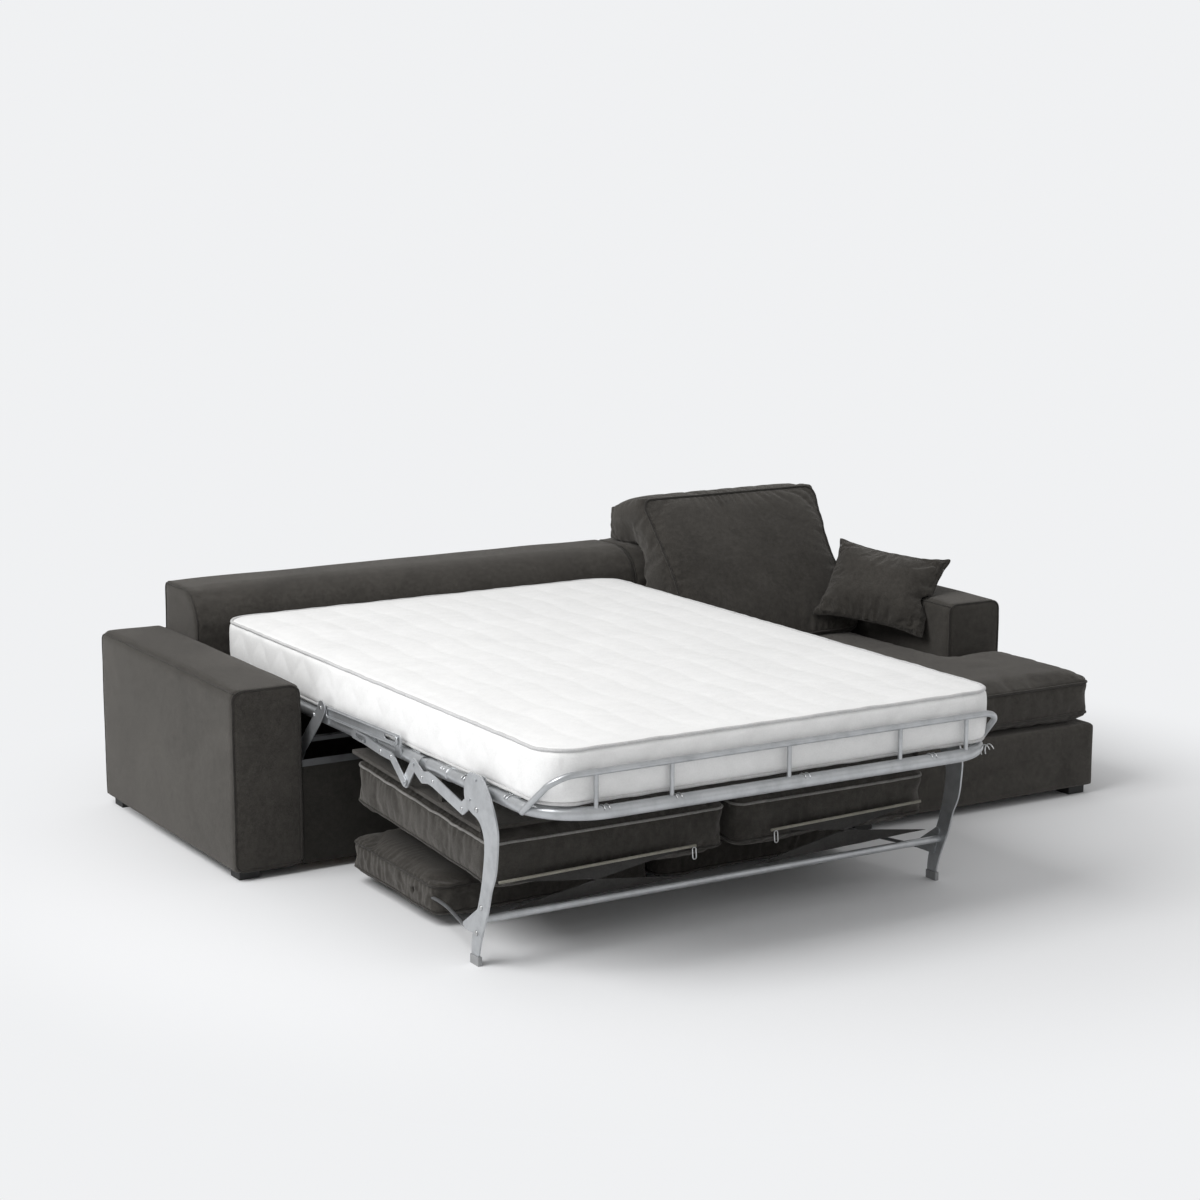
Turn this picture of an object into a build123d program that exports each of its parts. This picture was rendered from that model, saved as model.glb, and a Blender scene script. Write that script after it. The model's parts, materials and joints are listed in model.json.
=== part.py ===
"""Corner sofa bed, shown with its bed folded out.

A three-part sofa box with an upholstered arm and a low back, a chaise with its own arm, a back
cushion and a throw cushion, and a folding steel bed of four hinged sections with a mattress.
Places are given as across from the left arm's outer side, forward from the rear plane and up
from the floor. The origin is on the floor, under the middle of the whole piece, with +Y to the rear.
"""

import os
from math import atan2, cos, degrees, hypot, radians, sin, sqrt

from build123d import *

os.makedirs("parts", exist_ok=True)

# Overall sizes
overall_width = 2750
bed_reach = 2345
sofa_depth = 1025
chaise_depth = 1510
base_bottom = 25

# Arms
arm_width = 215
arm_top = 555
arm_corner = 28
piping_diameter = 9
soft_gap = 0.3
flush_gap = 0.3

# Low backs
back_top = 695
back_depth = 267
back_shoulder = 582
back_flat = 150
back_bulge_forward = 235
back_bulge_up = 653
back_edge = 12

# Sofa box under the bed
bed_opening = 1530
side_panel_width = 54.7
side_panel_top = 388
bottom_board = 10
front_panel_thickness = 15
front_panel_top = 310
panel_setback = 5
panel_rail_height = 20
panel_rail_wall = 2

# Chaise
chaise_base_top = 231
chaise_seat_bottom = 233
chaise_seat_top = 393
chaise_cushion_corner = 26
chaise_cushion_setback = 10
chaise_cushion_inset = 16
back_cushion_left = 1815
back_cushion_foot_depth = 330
back_cushion_front = ((612, 424), (452, 648), (255, 871), (50, 816))
back_cushion_over = 197
back_cushion_round = 257
throw_width = 405
throw_height = 290
throw_thickness = 118
throw_corner = 12
throw_place = (2475, 735, 573)
throw_bottom_share = (0.484, 0.869, -0.104)
throw_rise_share = (0.627, -0.036, 0.779)

# Block feet
foot_block = 62
foot_block_inset = 22

# Bed frame
tube_diameter = 35
tube_up = 452
tube_inset = 65
foot_bend = 165
cross_tube_diameter = 25
cross_tube_inset = 50
head_pivot = 300
first_pivot = 690
second_pivot = 1400
third_pivot = 1680
pivot_pin = 10
pin_clearance = 0.3
pin_fit = 0.1
section_gap = 21
pin_head = 18
pin_head_height = 3
hinge_plate_thickness = 4
hinge_plate_reach = 48
hinge_plate_width = 30

# Welded wire mesh
wire = 4
mesh_clearance = 0.2
mesh_end = 48
mesh_pitch_across = 140
mesh_pitch_along = 110

# Mattress
mattress_width = 1400
mattress_rear = 290
mattress_front = 2290
mattress_bottom = 474.5
mattress_top = 617
mattress_corner = 150
mattress_piping = 8

# Guard rail at the foot
rail_diameter = 17
rail_up = 557
rail_start = 2290
rail_elbow = 24
post_diameter = 12
post_near = 355
post_far = 602

# Link layers, as the side nearest the arm and the side nearest the tube
bracket_thickness = 3
swing_layer = (29, 33)
leg_layer = (28, 33)
arm_layer = (29, 33)
crank_layer = (34, 38)
link_layer = (39, 45)
stud_wall = 3.5
stud_diameter = 8

# Swing plates
swing_pivot = (863, 193)
swing_points = ((863, 193), (958, 354), (1062, 455), (1094, 494))
swing_width = 40
swing_pin = (1035, 463)
swing_bar_place = (985, 380)
swing_bar_width = 25
swing_bar_height = 12

# Slotted links
link_pivot = (1085, 481)
link_pin = (1540, 489)
link_width = 34
link_slide = 65
link_slot_width = 14.6
link_rail_width = 6
link_rail_margin = 2
link_rail_height = 3

# Crank plates with their bends
crank_pivot = (1651, 450)
crank_arm_pin = (1603, 391)
crank_leg_pin = (1975, 429)
crank_points = ((1603, 391), (1651, 450), (1700, 425), (1731, 431), (1763, 428), (1922, 392), (1975, 429))
crank_width = 32
crank_play = 4

# Channel arms
arm_points = ((1603, 391), (1530, 446), (1467, 448), (1366, 457.2), (1298, 460.2))
arm_strap_width = 24
arm_pin = (1366, 454)
arm_slide = 46
arm_slot_width = 15.2

# Legs
leg_pivot = (2009, 487)
leg_height = 502
leg_bow = 111
leg_front_shares = (
    (0.20, 1.0), (0.52, 0.945), (0.78, 0.865), (1.0, 0.742), (0.985, 0.655),
    (0.84, 0.497), (0.70, 0.434), (0.54, 0.325), (0.30, 0.204), (0.06, 0.05),
)
leg_rear_shares = (
    (-0.28, 0.03), (-0.24, 0.135), (0.05, 0.315), (0.19, 0.404), (0.26, 0.465), (0.36, 0.58),
    (0.34, 0.70), (0.11, 0.766), (-0.34, 0.80), (-0.56, 0.86), (-0.54, 0.925), (-0.26, 1.0),
)
foot_cap_length = 44
foot_cap_height = 24
foot_cap_wall = 3
leg_tube = 20
leg_tube_place = (2028, 126)
gusset_points = ((2038, 172), (2010, 78), (1900, 76))
gusset_thickness = 3
gusset_corner = 10

# Cushions that hang below the bed
seat_rear = (1220, 392)
seat_front = (2005, 340)
seat_thickness = 172
seat_left = 280
seat_split = 1018
seat_split_gap = 18
seat_right = 1690
seat_corner = 30
seat_board_thickness = 10
seat_board_margin = 20
hanger_thickness = 4
hanger_width = 24
hanger_places = (1745, 1955)
back_pad_rear = (1165, 148)
back_pad_front = (1695, 136)
back_pad_thickness = 122
back_pad_left = 285
back_pad_right = 1675
back_pad_split = 980
back_pad_split_gap = 12
back_pad_corner = 40
pad_rail_height = 24
pad_rail_thickness = 4
pad_rail_up = 78
pad_rail_rear = 1240
pad_rod = 12
pad_rod_places = (1300, 1560)
zip_panel_thickness = 2
zip_panel_height = 60
zip_left = (300, 887)
zip_right = (1127, 1634)
zip_taper = 12

# Soft shapes: height as a share of the thickness, inset as a share of the crown's inset
crown_inset = 30
crown_shares = (
    (0.0, 2.6), (0.03, 1.2), (0.08, 0.45), (0.13, 0.12), (0.19, 0.0), (0.5, 0.12),
    (0.81, 0.0), (0.87, 0.12), (0.92, 0.45), (0.97, 1.2), (1.0, 2.6),
)
pillow_shares = (
    (-0.5, 0.60), (-0.45, 0.42), (-0.34, 0.24), (-0.18, 0.09), (0.0, 0.0),
    (0.18, 0.09), (0.34, 0.24), (0.45, 0.42), (0.5, 0.60),
)
piping_share = 0.19

overrun = 5

# Places worked out from the sizes
bed_left = arm_width
bed_right = bed_left + bed_opening
bed_middle = (bed_left + bed_right) / 2
chaise_left = bed_right + side_panel_width + soft_gap
arm_right = overall_width - arm_width
tube_across = bed_left + tube_inset
tube_radius = tube_diameter / 2
tube_outer = tube_across - tube_radius
tube_inner = tube_across + tube_radius
tube_top = tube_up + tube_radius
foot_tube_forward = bed_reach - tube_radius
pin_hole = pivot_pin / 2 + pin_fit
piping_radius = piping_diameter / 2
piping_seat = (piping_radius + soft_gap) / (sqrt(2) - 1)


def at(across, forward, up):
    """The point in the model's frame for a place on the sofa."""
    return Vector(across - overall_width / 2, bed_reach / 2 - forward, up)


def side_plane(across):
    """A plane for outlines drawn as forward and up. It faces the left arm."""
    return Plane(origin=at(across, 0, 0), x_dir=(0, -1, 0), z_dir=(-1, 0, 0))


def front_plane(forward):
    """A plane for outlines drawn as across and up. It faces the front."""
    return Plane(origin=at(0, forward, 0), x_dir=(1, 0, 0), z_dir=(0, -1, 0))


def level_plane(up):
    """A plane for outlines drawn as across and backward. It faces up."""
    return Plane(origin=at(0, 0, up), x_dir=(1, 0, 0), z_dir=(0, 0, 1))


bed_mirror = Plane(origin=at(bed_middle, 0, 0), x_dir=(0, 1, 0), z_dir=(1, 0, 0))


def finish(solid, name):
    """Labels a piece and writes it under its name."""
    solid.part.label = name
    export_step(solid.part, f"parts/{name}.step")


def mirrored(solid):
    """The same piece on the other side of the bed."""
    return mirror(solid, about=bed_mirror, mode=Mode.PRIVATE)


def block(across, forward, up):
    """A plain block between pairs of places."""
    with BuildPart() as shape:
        with BuildSketch(side_plane(across[1])):
            with BuildLine():
                Polyline(
                    (forward[0], up[0]), (forward[1], up[0]), (forward[1], up[1]), (forward[0], up[1]),
                    close=True,
                )
            make_face()
        extrude(amount=across[1] - across[0])
    return shape.part


def cross_pin(place, start, end, diameter):
    """A round pin across the bed at a place given as forward and up."""
    with BuildPart() as shape:
        with BuildSketch(side_plane(end)):
            with Locations(place):
                Circle(diameter / 2)
        extrude(amount=end - start)
    return shape.part


def strap(points, width, start, end):
    """A flat bar of one width, round at its ends and bends, between two places across."""
    with BuildPart() as shape:
        with BuildSketch(side_plane(end)):
            for (near, near_up), (far, far_up) in zip(points, points[1:]):
                span = hypot(far - near, far_up - near_up)
                turn = degrees(atan2(far_up - near_up, far - near))
                with Locations(((near + far) / 2, (near_up + far_up) / 2)):
                    SlotCenterToCenter(span, width, rotation=turn)
        extrude(amount=end - start)
    return shape.part


def lengthwise_tube(across, start, end):
    """A frame tube that runs forward."""
    with BuildPart() as shape:
        with BuildSketch(front_plane(start)):
            with Locations((across, tube_up)):
                Circle(tube_radius)
        extrude(amount=end - start)
    return shape.part


def crosswise_tube(forward, up, diameter, start, end):
    """A tube that runs across the bed."""
    return cross_pin((forward, up), start, end, diameter)


def hinge_eye(pivot):
    """The closed, rounded end of a side tube round its hinge pin."""
    with BuildPart() as shape:
        with BuildSketch(side_plane(tube_inner)):
            with Locations((pivot, tube_up)):
                Circle(tube_radius)
                Circle(pin_hole, mode=Mode.SUBTRACT)
        extrude(amount=tube_diameter)
    return shape.part


def side_tube(pivot, end):
    """The left side tube of one section, from the eye at its rear hinge."""
    with BuildPart() as shape:
        add(lengthwise_tube(tube_across, pivot, end))
        with BuildSketch(side_plane(tube_inner + overrun)):
            with Locations((pivot, tube_up)):
                Circle(pin_hole)
        extrude(amount=tube_diameter + 2 * overrun, mode=Mode.SUBTRACT)
        add(hinge_eye(pivot))
    return shape.part


def hinge_plate(pivot):
    """The cheek plate inside a side tube's end, with the pin for the next section's eye."""
    inner = tube_inner + pin_clearance
    weld_end = pivot - section_gap
    with BuildPart() as shape:
        add(strap(
            ((pivot - hinge_plate_reach, tube_up), (pivot, tube_up)),
            hinge_plate_width, inner, inner + hinge_plate_thickness,
        ))
        add(block(
            (tube_across, inner),
            (pivot - hinge_plate_reach, weld_end),
            (tube_up - hinge_plate_width / 4, tube_up + hinge_plate_width / 4),
        ))
        add(cross_pin((pivot, tube_up), tube_outer, inner, pivot_pin))
    return shape.part


def wire_mesh(start, end):
    """A flat net of welded wires on top of the tubes of one section."""
    width = bed_opening - 2 * tube_inset
    length = end - start
    columns = round(width / mesh_pitch_across)
    rows = max(round(length / mesh_pitch_along), 1)
    gap_across = (width - wire) / columns
    gap_along = (length - wire) / rows
    with BuildPart() as shape:
        with BuildSketch(level_plane(tube_top + mesh_clearance)):
            with Locations((bed_middle, -(start + end) / 2)):
                Rectangle(width, length)
                with GridLocations(gap_across, gap_along, columns, rows):
                    Rectangle(gap_across - wire, gap_along - wire, mode=Mode.SUBTRACT)
        extrude(amount=wire)
    return shape.part


def soft_box(base, width, depth, thickness, corner):
    """A box cushion on its base plane, crowned above and below, with its sides drawn in."""
    with BuildPart() as shape:
        for height_share, inset_share in crown_shares:
            inset = crown_inset * inset_share
            with BuildSketch(base.offset(thickness * height_share)):
                RectangleRounded(width - 2 * inset, depth - 2 * inset, corner)
        loft(ruled=True)
    return shape.part


def piping_loop(base, width, depth, corner, diameter):
    """A closed loop of piping round a cushion's outline."""
    reach = diameter / 2 + soft_gap
    half_width = width / 2 + reach
    half_depth = depth / 2 + reach
    with BuildPart() as shape:
        with BuildLine(base) as route:
            FilletPolyline(
                (-half_width, -half_depth), (half_width, -half_depth),
                (half_width, half_depth), (-half_width, half_depth),
                radius=corner + reach, close=True,
            )
        with BuildSketch(Plane(origin=route.line @ 0, z_dir=route.line % 0)):
            Circle(diameter / 2)
        sweep()
    return shape.part


def soft_box_piping(base, width, depth, thickness, corner, diameter):
    """The two loops of piping of a box cushion."""
    with BuildPart() as shape:
        for share in (piping_share, 1 - piping_share):
            add(piping_loop(base.offset(thickness * share), width, depth, corner, diameter))
    return shape.part


def tilted_base(rear, front, across, thickness):
    """The lower plane of a hanging cushion whose top line runs from rear to front."""
    middle = at(across, (rear[0] + front[0]) / 2, (rear[1] + front[1]) / 2)
    run = Vector(0, rear[0] - front[0], front[1] - rear[1]).normalized()
    normal = run.cross(Vector(-1, 0, 0)).normalized()
    if normal.Z < 0:
        normal = -normal
    return Plane(origin=middle - normal * thickness, x_dir=(1, 0, 0), z_dir=normal)


# Sofa box


def arm_block(left, right, bottom):
    """An upholstered arm with soft top corners and a rounded front outline."""
    with BuildPart() as shape:
        with BuildSketch(front_plane(0)):
            with BuildLine():
                Polyline((left, bottom), (right, bottom), (right, arm_top), (left, arm_top), close=True)
            make_face()
        extrude(amount=sofa_depth)
        top_edges = shape.edges().filter_by(Axis.Y).group_by(Axis.Z)[-1]
        fillet(top_edges, arm_corner)
        front_edges = shape.faces().sort_by(Axis.Y)[0].edges().sort_by(Axis.Z)[1:]
        fillet(front_edges, piping_seat)
    return shape.part


def arm_piping(left, right, bottom):
    """The piping round an arm's front panel."""
    with BuildPart() as shape:
        with BuildLine(front_plane(sofa_depth)) as route:
            FilletPolyline(
                (left, bottom), (left, arm_top), (right, arm_top), (right, bottom), radius=arm_corner
            )
        with BuildSketch(Plane(origin=route.line @ 0, z_dir=route.line % 0)):
            Circle(piping_radius)
        sweep()
    return shape.part


with BuildPart() as left_arm:
    add(arm_block(0, arm_width, base_bottom))
finish(left_arm, "left_arm")

with BuildPart() as left_arm_piping:
    add(arm_piping(0, arm_width, base_bottom))
finish(left_arm_piping, "left_arm_piping")

with BuildPart() as right_arm:
    add(arm_block(arm_right, overall_width, chaise_base_top))
finish(right_arm, "right_arm")

with BuildPart() as right_arm_piping:
    add(arm_piping(arm_right, overall_width, chaise_base_top))
finish(right_arm_piping, "right_arm_piping")


def low_back_block(left, right, bottom):
    """A fixed low back with a rounded upper front."""
    with BuildPart() as shape:
        with BuildSketch(side_plane(right)):
            with BuildLine():
                Polyline(
                    (back_depth, back_shoulder), (back_depth, bottom), (0, bottom),
                    (0, back_top), (back_flat, back_top),
                )
                ThreePointArc(
                    (back_flat, back_top), (back_bulge_forward, back_bulge_up), (back_depth, back_shoulder)
                )
            make_face()
        extrude(amount=right - left)
        rear_edge = shape.edges().filter_by(Axis.X).group_by(Axis.Z)[-1].sort_by(Axis.Y)[-1]
        fillet(rear_edge, back_edge)
    return shape.part


with BuildPart() as low_back:
    add(low_back_block(bed_left, chaise_left - soft_gap, base_bottom))
finish(low_back, "low_back")

with BuildPart() as chaise_low_back:
    add(low_back_block(chaise_left, arm_right, chaise_base_top))
finish(chaise_low_back, "chaise_low_back")

with BuildPart() as box_side_panel:
    add(block(
        (bed_right, bed_right + side_panel_width),
        (back_depth, sofa_depth - panel_setback),
        (base_bottom, side_panel_top),
    ))
    upper_edges = box_side_panel.edges().group_by(Axis.Z)[-1].filter_by(Axis.Y)
    fillet(upper_edges, back_edge)
finish(box_side_panel, "box_side_panel")

panel_front = sofa_depth - panel_setback
panel_rear = panel_front - front_panel_thickness

with BuildPart() as bottom_board_panel:
    add(block((bed_left, bed_right), (back_depth, panel_rear), (base_bottom, base_bottom + bottom_board)))
finish(bottom_board_panel, "bottom_board")

with BuildPart() as front_panel:
    add(block((bed_left, bed_right), (panel_rear, panel_front), (base_bottom, front_panel_top)))
finish(front_panel, "front_panel")

with BuildPart() as front_panel_rail:
    with BuildSketch(side_plane(bed_right)):
        with BuildLine():
            Polyline(
                (panel_rear, front_panel_top),
                (panel_front, front_panel_top),
                (panel_front, front_panel_top + panel_rail_height),
                (panel_front - panel_rail_wall, front_panel_top + panel_rail_height),
                (panel_front - panel_rail_wall, front_panel_top + panel_rail_wall),
                (panel_rear, front_panel_top + panel_rail_wall),
                close=True,
            )
        make_face()
    extrude(amount=bed_opening)
finish(front_panel_rail, "front_panel_rail")

# Chaise


def rounded_box(across, forward, up, corner):
    """An upholstered box with rounded upright and upper edges."""
    with BuildPart() as shape:
        add(block(across, forward, up))
        front_uprights = shape.edges().filter_by(Axis.Z).group_by(Axis.Y)[0]
        fillet(front_uprights, corner)
    return shape.part


with BuildPart() as chaise_base:
    add(rounded_box((chaise_left, overall_width), (0, chaise_depth), (base_bottom, chaise_base_top), back_edge))
finish(chaise_base, "chaise_base")


def chaise_outline(inset):
    """The outline points of the chaise's seat, which goes round the arm, as across and backward."""
    left = chaise_left + chaise_cushion_setback + inset
    notch = arm_right - piping_radius - flush_gap - inset
    right = overall_width - chaise_cushion_setback - inset
    rear = back_depth + flush_gap + inset
    shoulder = sofa_depth + piping_radius + flush_gap + inset
    front = chaise_depth - chaise_cushion_setback - inset
    return (
        (left, -rear), (notch, -rear), (notch, -shoulder),
        (right, -shoulder), (right, -front), (left, -front),
    )


seat_rise = chaise_seat_top - chaise_seat_bottom

with BuildPart() as chaise_seat_cushion:
    for height_share, inset_share in crown_shares:
        with BuildSketch(level_plane(chaise_seat_bottom + seat_rise * height_share)) as level:
            with BuildLine():
                Polyline(*chaise_outline(chaise_cushion_inset * inset_share), close=True)
            make_face()
            inner_corner = chaise_outline(chaise_cushion_inset * inset_share)[2]
            fillet(level.vertices().sort_by_distance(inner_corner)[1:], chaise_cushion_corner)
    loft(ruled=True)
finish(chaise_seat_cushion, "chaise_seat_cushion")

with BuildPart() as chaise_seat_piping:
    for share in (piping_share, 1 - piping_share):
        level_up = chaise_seat_bottom + seat_rise * share
        left, front = chaise_left + chaise_cushion_setback, chaise_depth - chaise_cushion_setback
        right, shoulder = overall_width - chaise_cushion_setback, sofa_depth + 2 * piping_diameter
        with BuildLine(level_plane(level_up)) as route:
            FilletPolyline(
                (left - piping_radius - soft_gap, -back_depth - chaise_cushion_corner),
                (left - piping_radius - soft_gap, -front - piping_radius - soft_gap),
                (right + piping_radius + soft_gap, -front - piping_radius - soft_gap),
                (right + piping_radius + soft_gap, -shoulder - chaise_cushion_corner),
                radius=chaise_cushion_corner + piping_radius + soft_gap,
            )
        with BuildSketch(Plane(origin=route.line @ 0, z_dir=route.line % 0)):
            Circle(piping_radius)
        sweep()
finish(chaise_seat_piping, "chaise_seat_piping")

cushion_foot = chaise_seat_top + flush_gap
cushion_rear = back_depth + 2 * flush_gap
cushion_over = back_top + 2 * flush_gap
back_cushion_profile = (
    (cushion_rear, cushion_foot),
    (cushion_rear + back_cushion_foot_depth, cushion_foot),
    *back_cushion_front,
    (back_cushion_front[-1][0], cushion_over),
    (back_cushion_over, cushion_over),
    (back_cushion_round, back_bulge_up + back_edge),
    (cushion_rear, back_shoulder),
)

with BuildPart() as chaise_back_cushion:
    with BuildSketch(side_plane(arm_right - 2 * flush_gap)) as side:
        with BuildLine():
            Polyline(*back_cushion_profile, close=True)
        make_face()
    extrude(amount=arm_right - 2 * flush_gap - back_cushion_left)
finish(chaise_back_cushion, "chaise_back_cushion")

throw_bottom = Vector(throw_bottom_share[0], -throw_bottom_share[1], throw_bottom_share[2])
throw_rise = Vector(throw_rise_share[0], -throw_rise_share[1], throw_rise_share[2])
throw_plane = Plane(origin=at(*throw_place), x_dir=throw_bottom, z_dir=throw_bottom.cross(throw_rise))

with BuildPart() as throw_cushion:
    for height_share, inset_share in pillow_shares:
        with BuildSketch(throw_plane.offset(throw_thickness * height_share)):
            RectangleRounded(throw_width * (1 - inset_share), throw_height * (1 - inset_share), throw_corner)
    loft(ruled=True)
    add(block(
        (arm_right - flush_gap, overall_width), (0, sofa_depth), (chaise_base_top, arm_top + flush_gap)
    ), mode=Mode.SUBTRACT)
    add(chaise_back_cushion.part, mode=Mode.SUBTRACT)
finish(throw_cushion, "throw_cushion")

# Feet of the sofa and the chaise

foot_half = foot_block / 2 + foot_block_inset
block_places = (
    (foot_half, foot_half), (foot_half, sofa_depth - foot_half),
    (bed_right - foot_half, foot_half), (bed_right - foot_half, sofa_depth - foot_half),
    (chaise_left + foot_half, foot_half), (chaise_left + foot_half, chaise_depth - foot_half),
    (overall_width - foot_half, foot_half), (overall_width - foot_half, chaise_depth - foot_half),
)

with BuildPart() as feet:
    with BuildSketch(level_plane(0)):
        with Locations(*[(across, -forward) for across, forward in block_places]):
            Rectangle(foot_block, foot_block)
    extrude(amount=base_bottom)
finish(feet, "feet")

# Bed frame


def layer(places):
    """The two places across of a link layer, measured from the arm's inner face."""
    return bed_left + places[0], bed_left + places[1]


swing_near, swing_far = layer(swing_layer)
leg_near, leg_far = layer(leg_layer)
arm_near, arm_far = layer(arm_layer)
crank_near, crank_far = layer(crank_layer)
link_near, link_far = layer(link_layer)
stud_near = link_far + soft_gap
bracket_far = bed_left + bracket_thickness

with BuildPart() as frame_bracket_left:
    add(block(
        (bed_left, bracket_far),
        (head_pivot - hinge_plate_width / 2, swing_pivot[0] + hinge_plate_width),
        (swing_pivot[1] - hinge_plate_width, swing_pivot[1] + hinge_plate_width),
    ))
    add(block(
        (bed_left, bracket_far),
        (head_pivot - hinge_plate_width / 2, head_pivot + hinge_plate_width),
        (swing_pivot[1], tube_up + hinge_plate_width / 2),
    ))
    add(cross_pin((head_pivot, tube_up), bed_left, tube_inner + pin_clearance, pivot_pin))
    add(cross_pin((head_pivot, tube_up), bed_left, tube_outer - pin_clearance, pin_head))
    add(cross_pin(swing_pivot, bed_left, swing_far + pin_head_height, pivot_pin))
    add(cross_pin(swing_pivot, bed_left, swing_near - pin_clearance, pin_head))
finish(frame_bracket_left, "frame_bracket_left")

with BuildPart() as frame_bracket_right:
    add(mirrored(frame_bracket_left.part))
finish(frame_bracket_right, "frame_bracket_right")


def both_sides(solid):
    """A left piece with its mirrored copy."""
    with BuildPart() as shape:
        add(solid)
        add(mirrored(solid))
    return shape.part


def brace(forward):
    """A cross tube between the side tubes."""
    with BuildPart() as shape:
        add(crosswise_tube(
            forward, tube_up, cross_tube_diameter, tube_across, bed_left + bed_right - tube_across
        ))
    return shape.part


def link_stud(place, end, rear, front):
    """A stud on a side tube's bracket plate, for a link."""
    with BuildPart() as shape:
        add(block(
            (stud_near, stud_near + stud_wall), (place[0] - rear, place[0] + front),
            (tube_up - stud_diameter, place[1] + stud_diameter),
        ))
        add(cross_pin(place, end, stud_near + stud_wall, stud_diameter))
    return shape.part


with BuildPart() as head_frame:
    add(both_sides(side_tube(head_pivot, first_pivot - section_gap)))
    add(both_sides(hinge_plate(first_pivot)))
    add(brace(head_pivot + cross_tube_inset))
finish(head_frame, "head_frame")

with BuildPart() as middle_frame:
    add(both_sides(side_tube(first_pivot, second_pivot - section_gap)))
    add(both_sides(hinge_plate(second_pivot)))
    add(brace(first_pivot + cross_tube_inset))
    add(brace(second_pivot - cross_tube_inset - hinge_plate_reach))
    add(both_sides(link_stud(swing_pin, swing_far + pin_clearance, pin_head, pin_head)))
    add(both_sides(link_stud(link_pivot, link_near, hinge_plate_width, pin_head)))
    add(both_sides(cross_pin(arm_pin, arm_near - pin_head_height, tube_across, stud_diameter)))
finish(middle_frame, "middle_frame")

with BuildPart() as knuckle_frame:
    add(both_sides(side_tube(second_pivot, third_pivot - section_gap)))
    add(both_sides(hinge_plate(third_pivot)))
    add(brace((second_pivot + third_pivot) / 2))
    add(both_sides(link_stud(link_pin, link_near, pin_head, pin_head)))
    add(both_sides(cross_pin(crank_pivot, crank_near - pin_head_height, tube_across, pivot_pin)))
finish(knuckle_frame, "knuckle_frame")


def bend_point(angle):
    """The plan point on the foot tube's left bend, and its direction, for an angle from the side."""
    centre_across = tube_across + foot_bend
    centre_forward = foot_tube_forward - foot_bend
    turn = radians(angle)
    point = (centre_across - foot_bend * cos(turn), centre_forward + foot_bend * sin(turn))
    return point, (sin(turn), cos(turn))


with BuildPart() as foot_frame:
    with BuildLine(level_plane(tube_up)) as foot_route:
        FilletPolyline(
            (tube_across, -third_pivot),
            (tube_across, -foot_tube_forward),
            (bed_left + bed_right - tube_across, -foot_tube_forward),
            (bed_left + bed_right - tube_across, -third_pivot),
            radius=foot_bend,
        )
    with BuildSketch(Plane(origin=foot_route.line @ 0, z_dir=foot_route.line % 0)):
        Circle(tube_radius)
    sweep()
    for hole_middle in (tube_across, bed_left + bed_right - tube_across):
        add(cross_pin(
            (third_pivot, tube_up), hole_middle - tube_diameter, hole_middle + tube_diameter, 2 * pin_hole
        ), mode=Mode.SUBTRACT)
    add(both_sides(hinge_eye(third_pivot)))
    add(both_sides(link_stud(leg_pivot, leg_near - pin_head_height, pin_head, pin_head)))
finish(foot_frame, "foot_frame")

rail_angle = degrees(atan2(rail_start - foot_tube_forward + foot_bend, foot_bend))
elbow_point, elbow_way = bend_point(rail_angle)
rail_foot = (elbow_point[0] - rail_elbow * elbow_way[0], elbow_point[1] - rail_elbow * elbow_way[1])
elbow_share = 1 - sqrt(0.5)
elbow_middle = (
    rail_foot[0] + rail_elbow * elbow_share * elbow_way[0],
    rail_foot[1] + rail_elbow * elbow_share * elbow_way[1],
)
half_bend, _ = bend_point((rail_angle + 90) / 2)
full_bend, _ = bend_point(90)

with BuildPart() as guard_rail:
    with BuildLine() as rail_route:
        Line(at(*rail_foot, tube_up), at(*rail_foot, rail_up - rail_elbow))
        ThreePointArc(
            at(*rail_foot, rail_up - rail_elbow),
            at(*elbow_middle, rail_up - rail_elbow * elbow_share),
            at(*elbow_point, rail_up),
        )
        ThreePointArc(at(*elbow_point, rail_up), at(*half_bend, rail_up), at(*full_bend, rail_up))
        Line(at(*full_bend, rail_up), at(bed_middle, foot_tube_forward, rail_up))
    with BuildSketch(Plane(origin=rail_route.line @ 0, z_dir=rail_route.line % 0)):
        Circle(rail_diameter / 2)
    sweep()
    mirror(about=bed_mirror)
    with BuildSketch(level_plane(tube_up)):
        for reach in (-post_far, -post_near, 0, post_near, post_far):
            past_bend = max(abs(reach) - (bed_middle - tube_across - foot_bend), 0)
            setback = foot_bend - sqrt(foot_bend ** 2 - past_bend ** 2)
            with Locations((bed_middle + reach, setback - foot_tube_forward)):
                Circle(post_diameter / 2)
    extrude(amount=rail_up - tube_up)
    add(foot_frame.part, mode=Mode.SUBTRACT)
finish(guard_rail, "guard_rail")

with BuildPart() as head_mesh:
    add(wire_mesh(head_pivot + mesh_end, first_pivot - mesh_end))
finish(head_mesh, "head_mesh")

with BuildPart() as middle_mesh:
    add(wire_mesh(first_pivot + mesh_end, second_pivot - mesh_end))
finish(middle_mesh, "middle_mesh")

with BuildPart() as knuckle_mesh:
    add(wire_mesh(second_pivot + mesh_end, third_pivot - mesh_end))
finish(knuckle_mesh, "knuckle_mesh")

with BuildPart() as foot_mesh:
    add(wire_mesh(third_pivot + mesh_end, foot_tube_forward - foot_bend))
finish(foot_mesh, "foot_mesh")

mattress_base = Plane(
    origin=at(bed_middle, (mattress_rear + mattress_front) / 2, mattress_bottom),
    x_dir=(1, 0, 0), z_dir=(0, 0, 1),
)
mattress_length = mattress_front - mattress_rear
mattress_height = mattress_top - mattress_bottom

with BuildPart() as mattress:
    add(soft_box(mattress_base, mattress_width, mattress_length, mattress_height, mattress_corner))
finish(mattress, "mattress")

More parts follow.
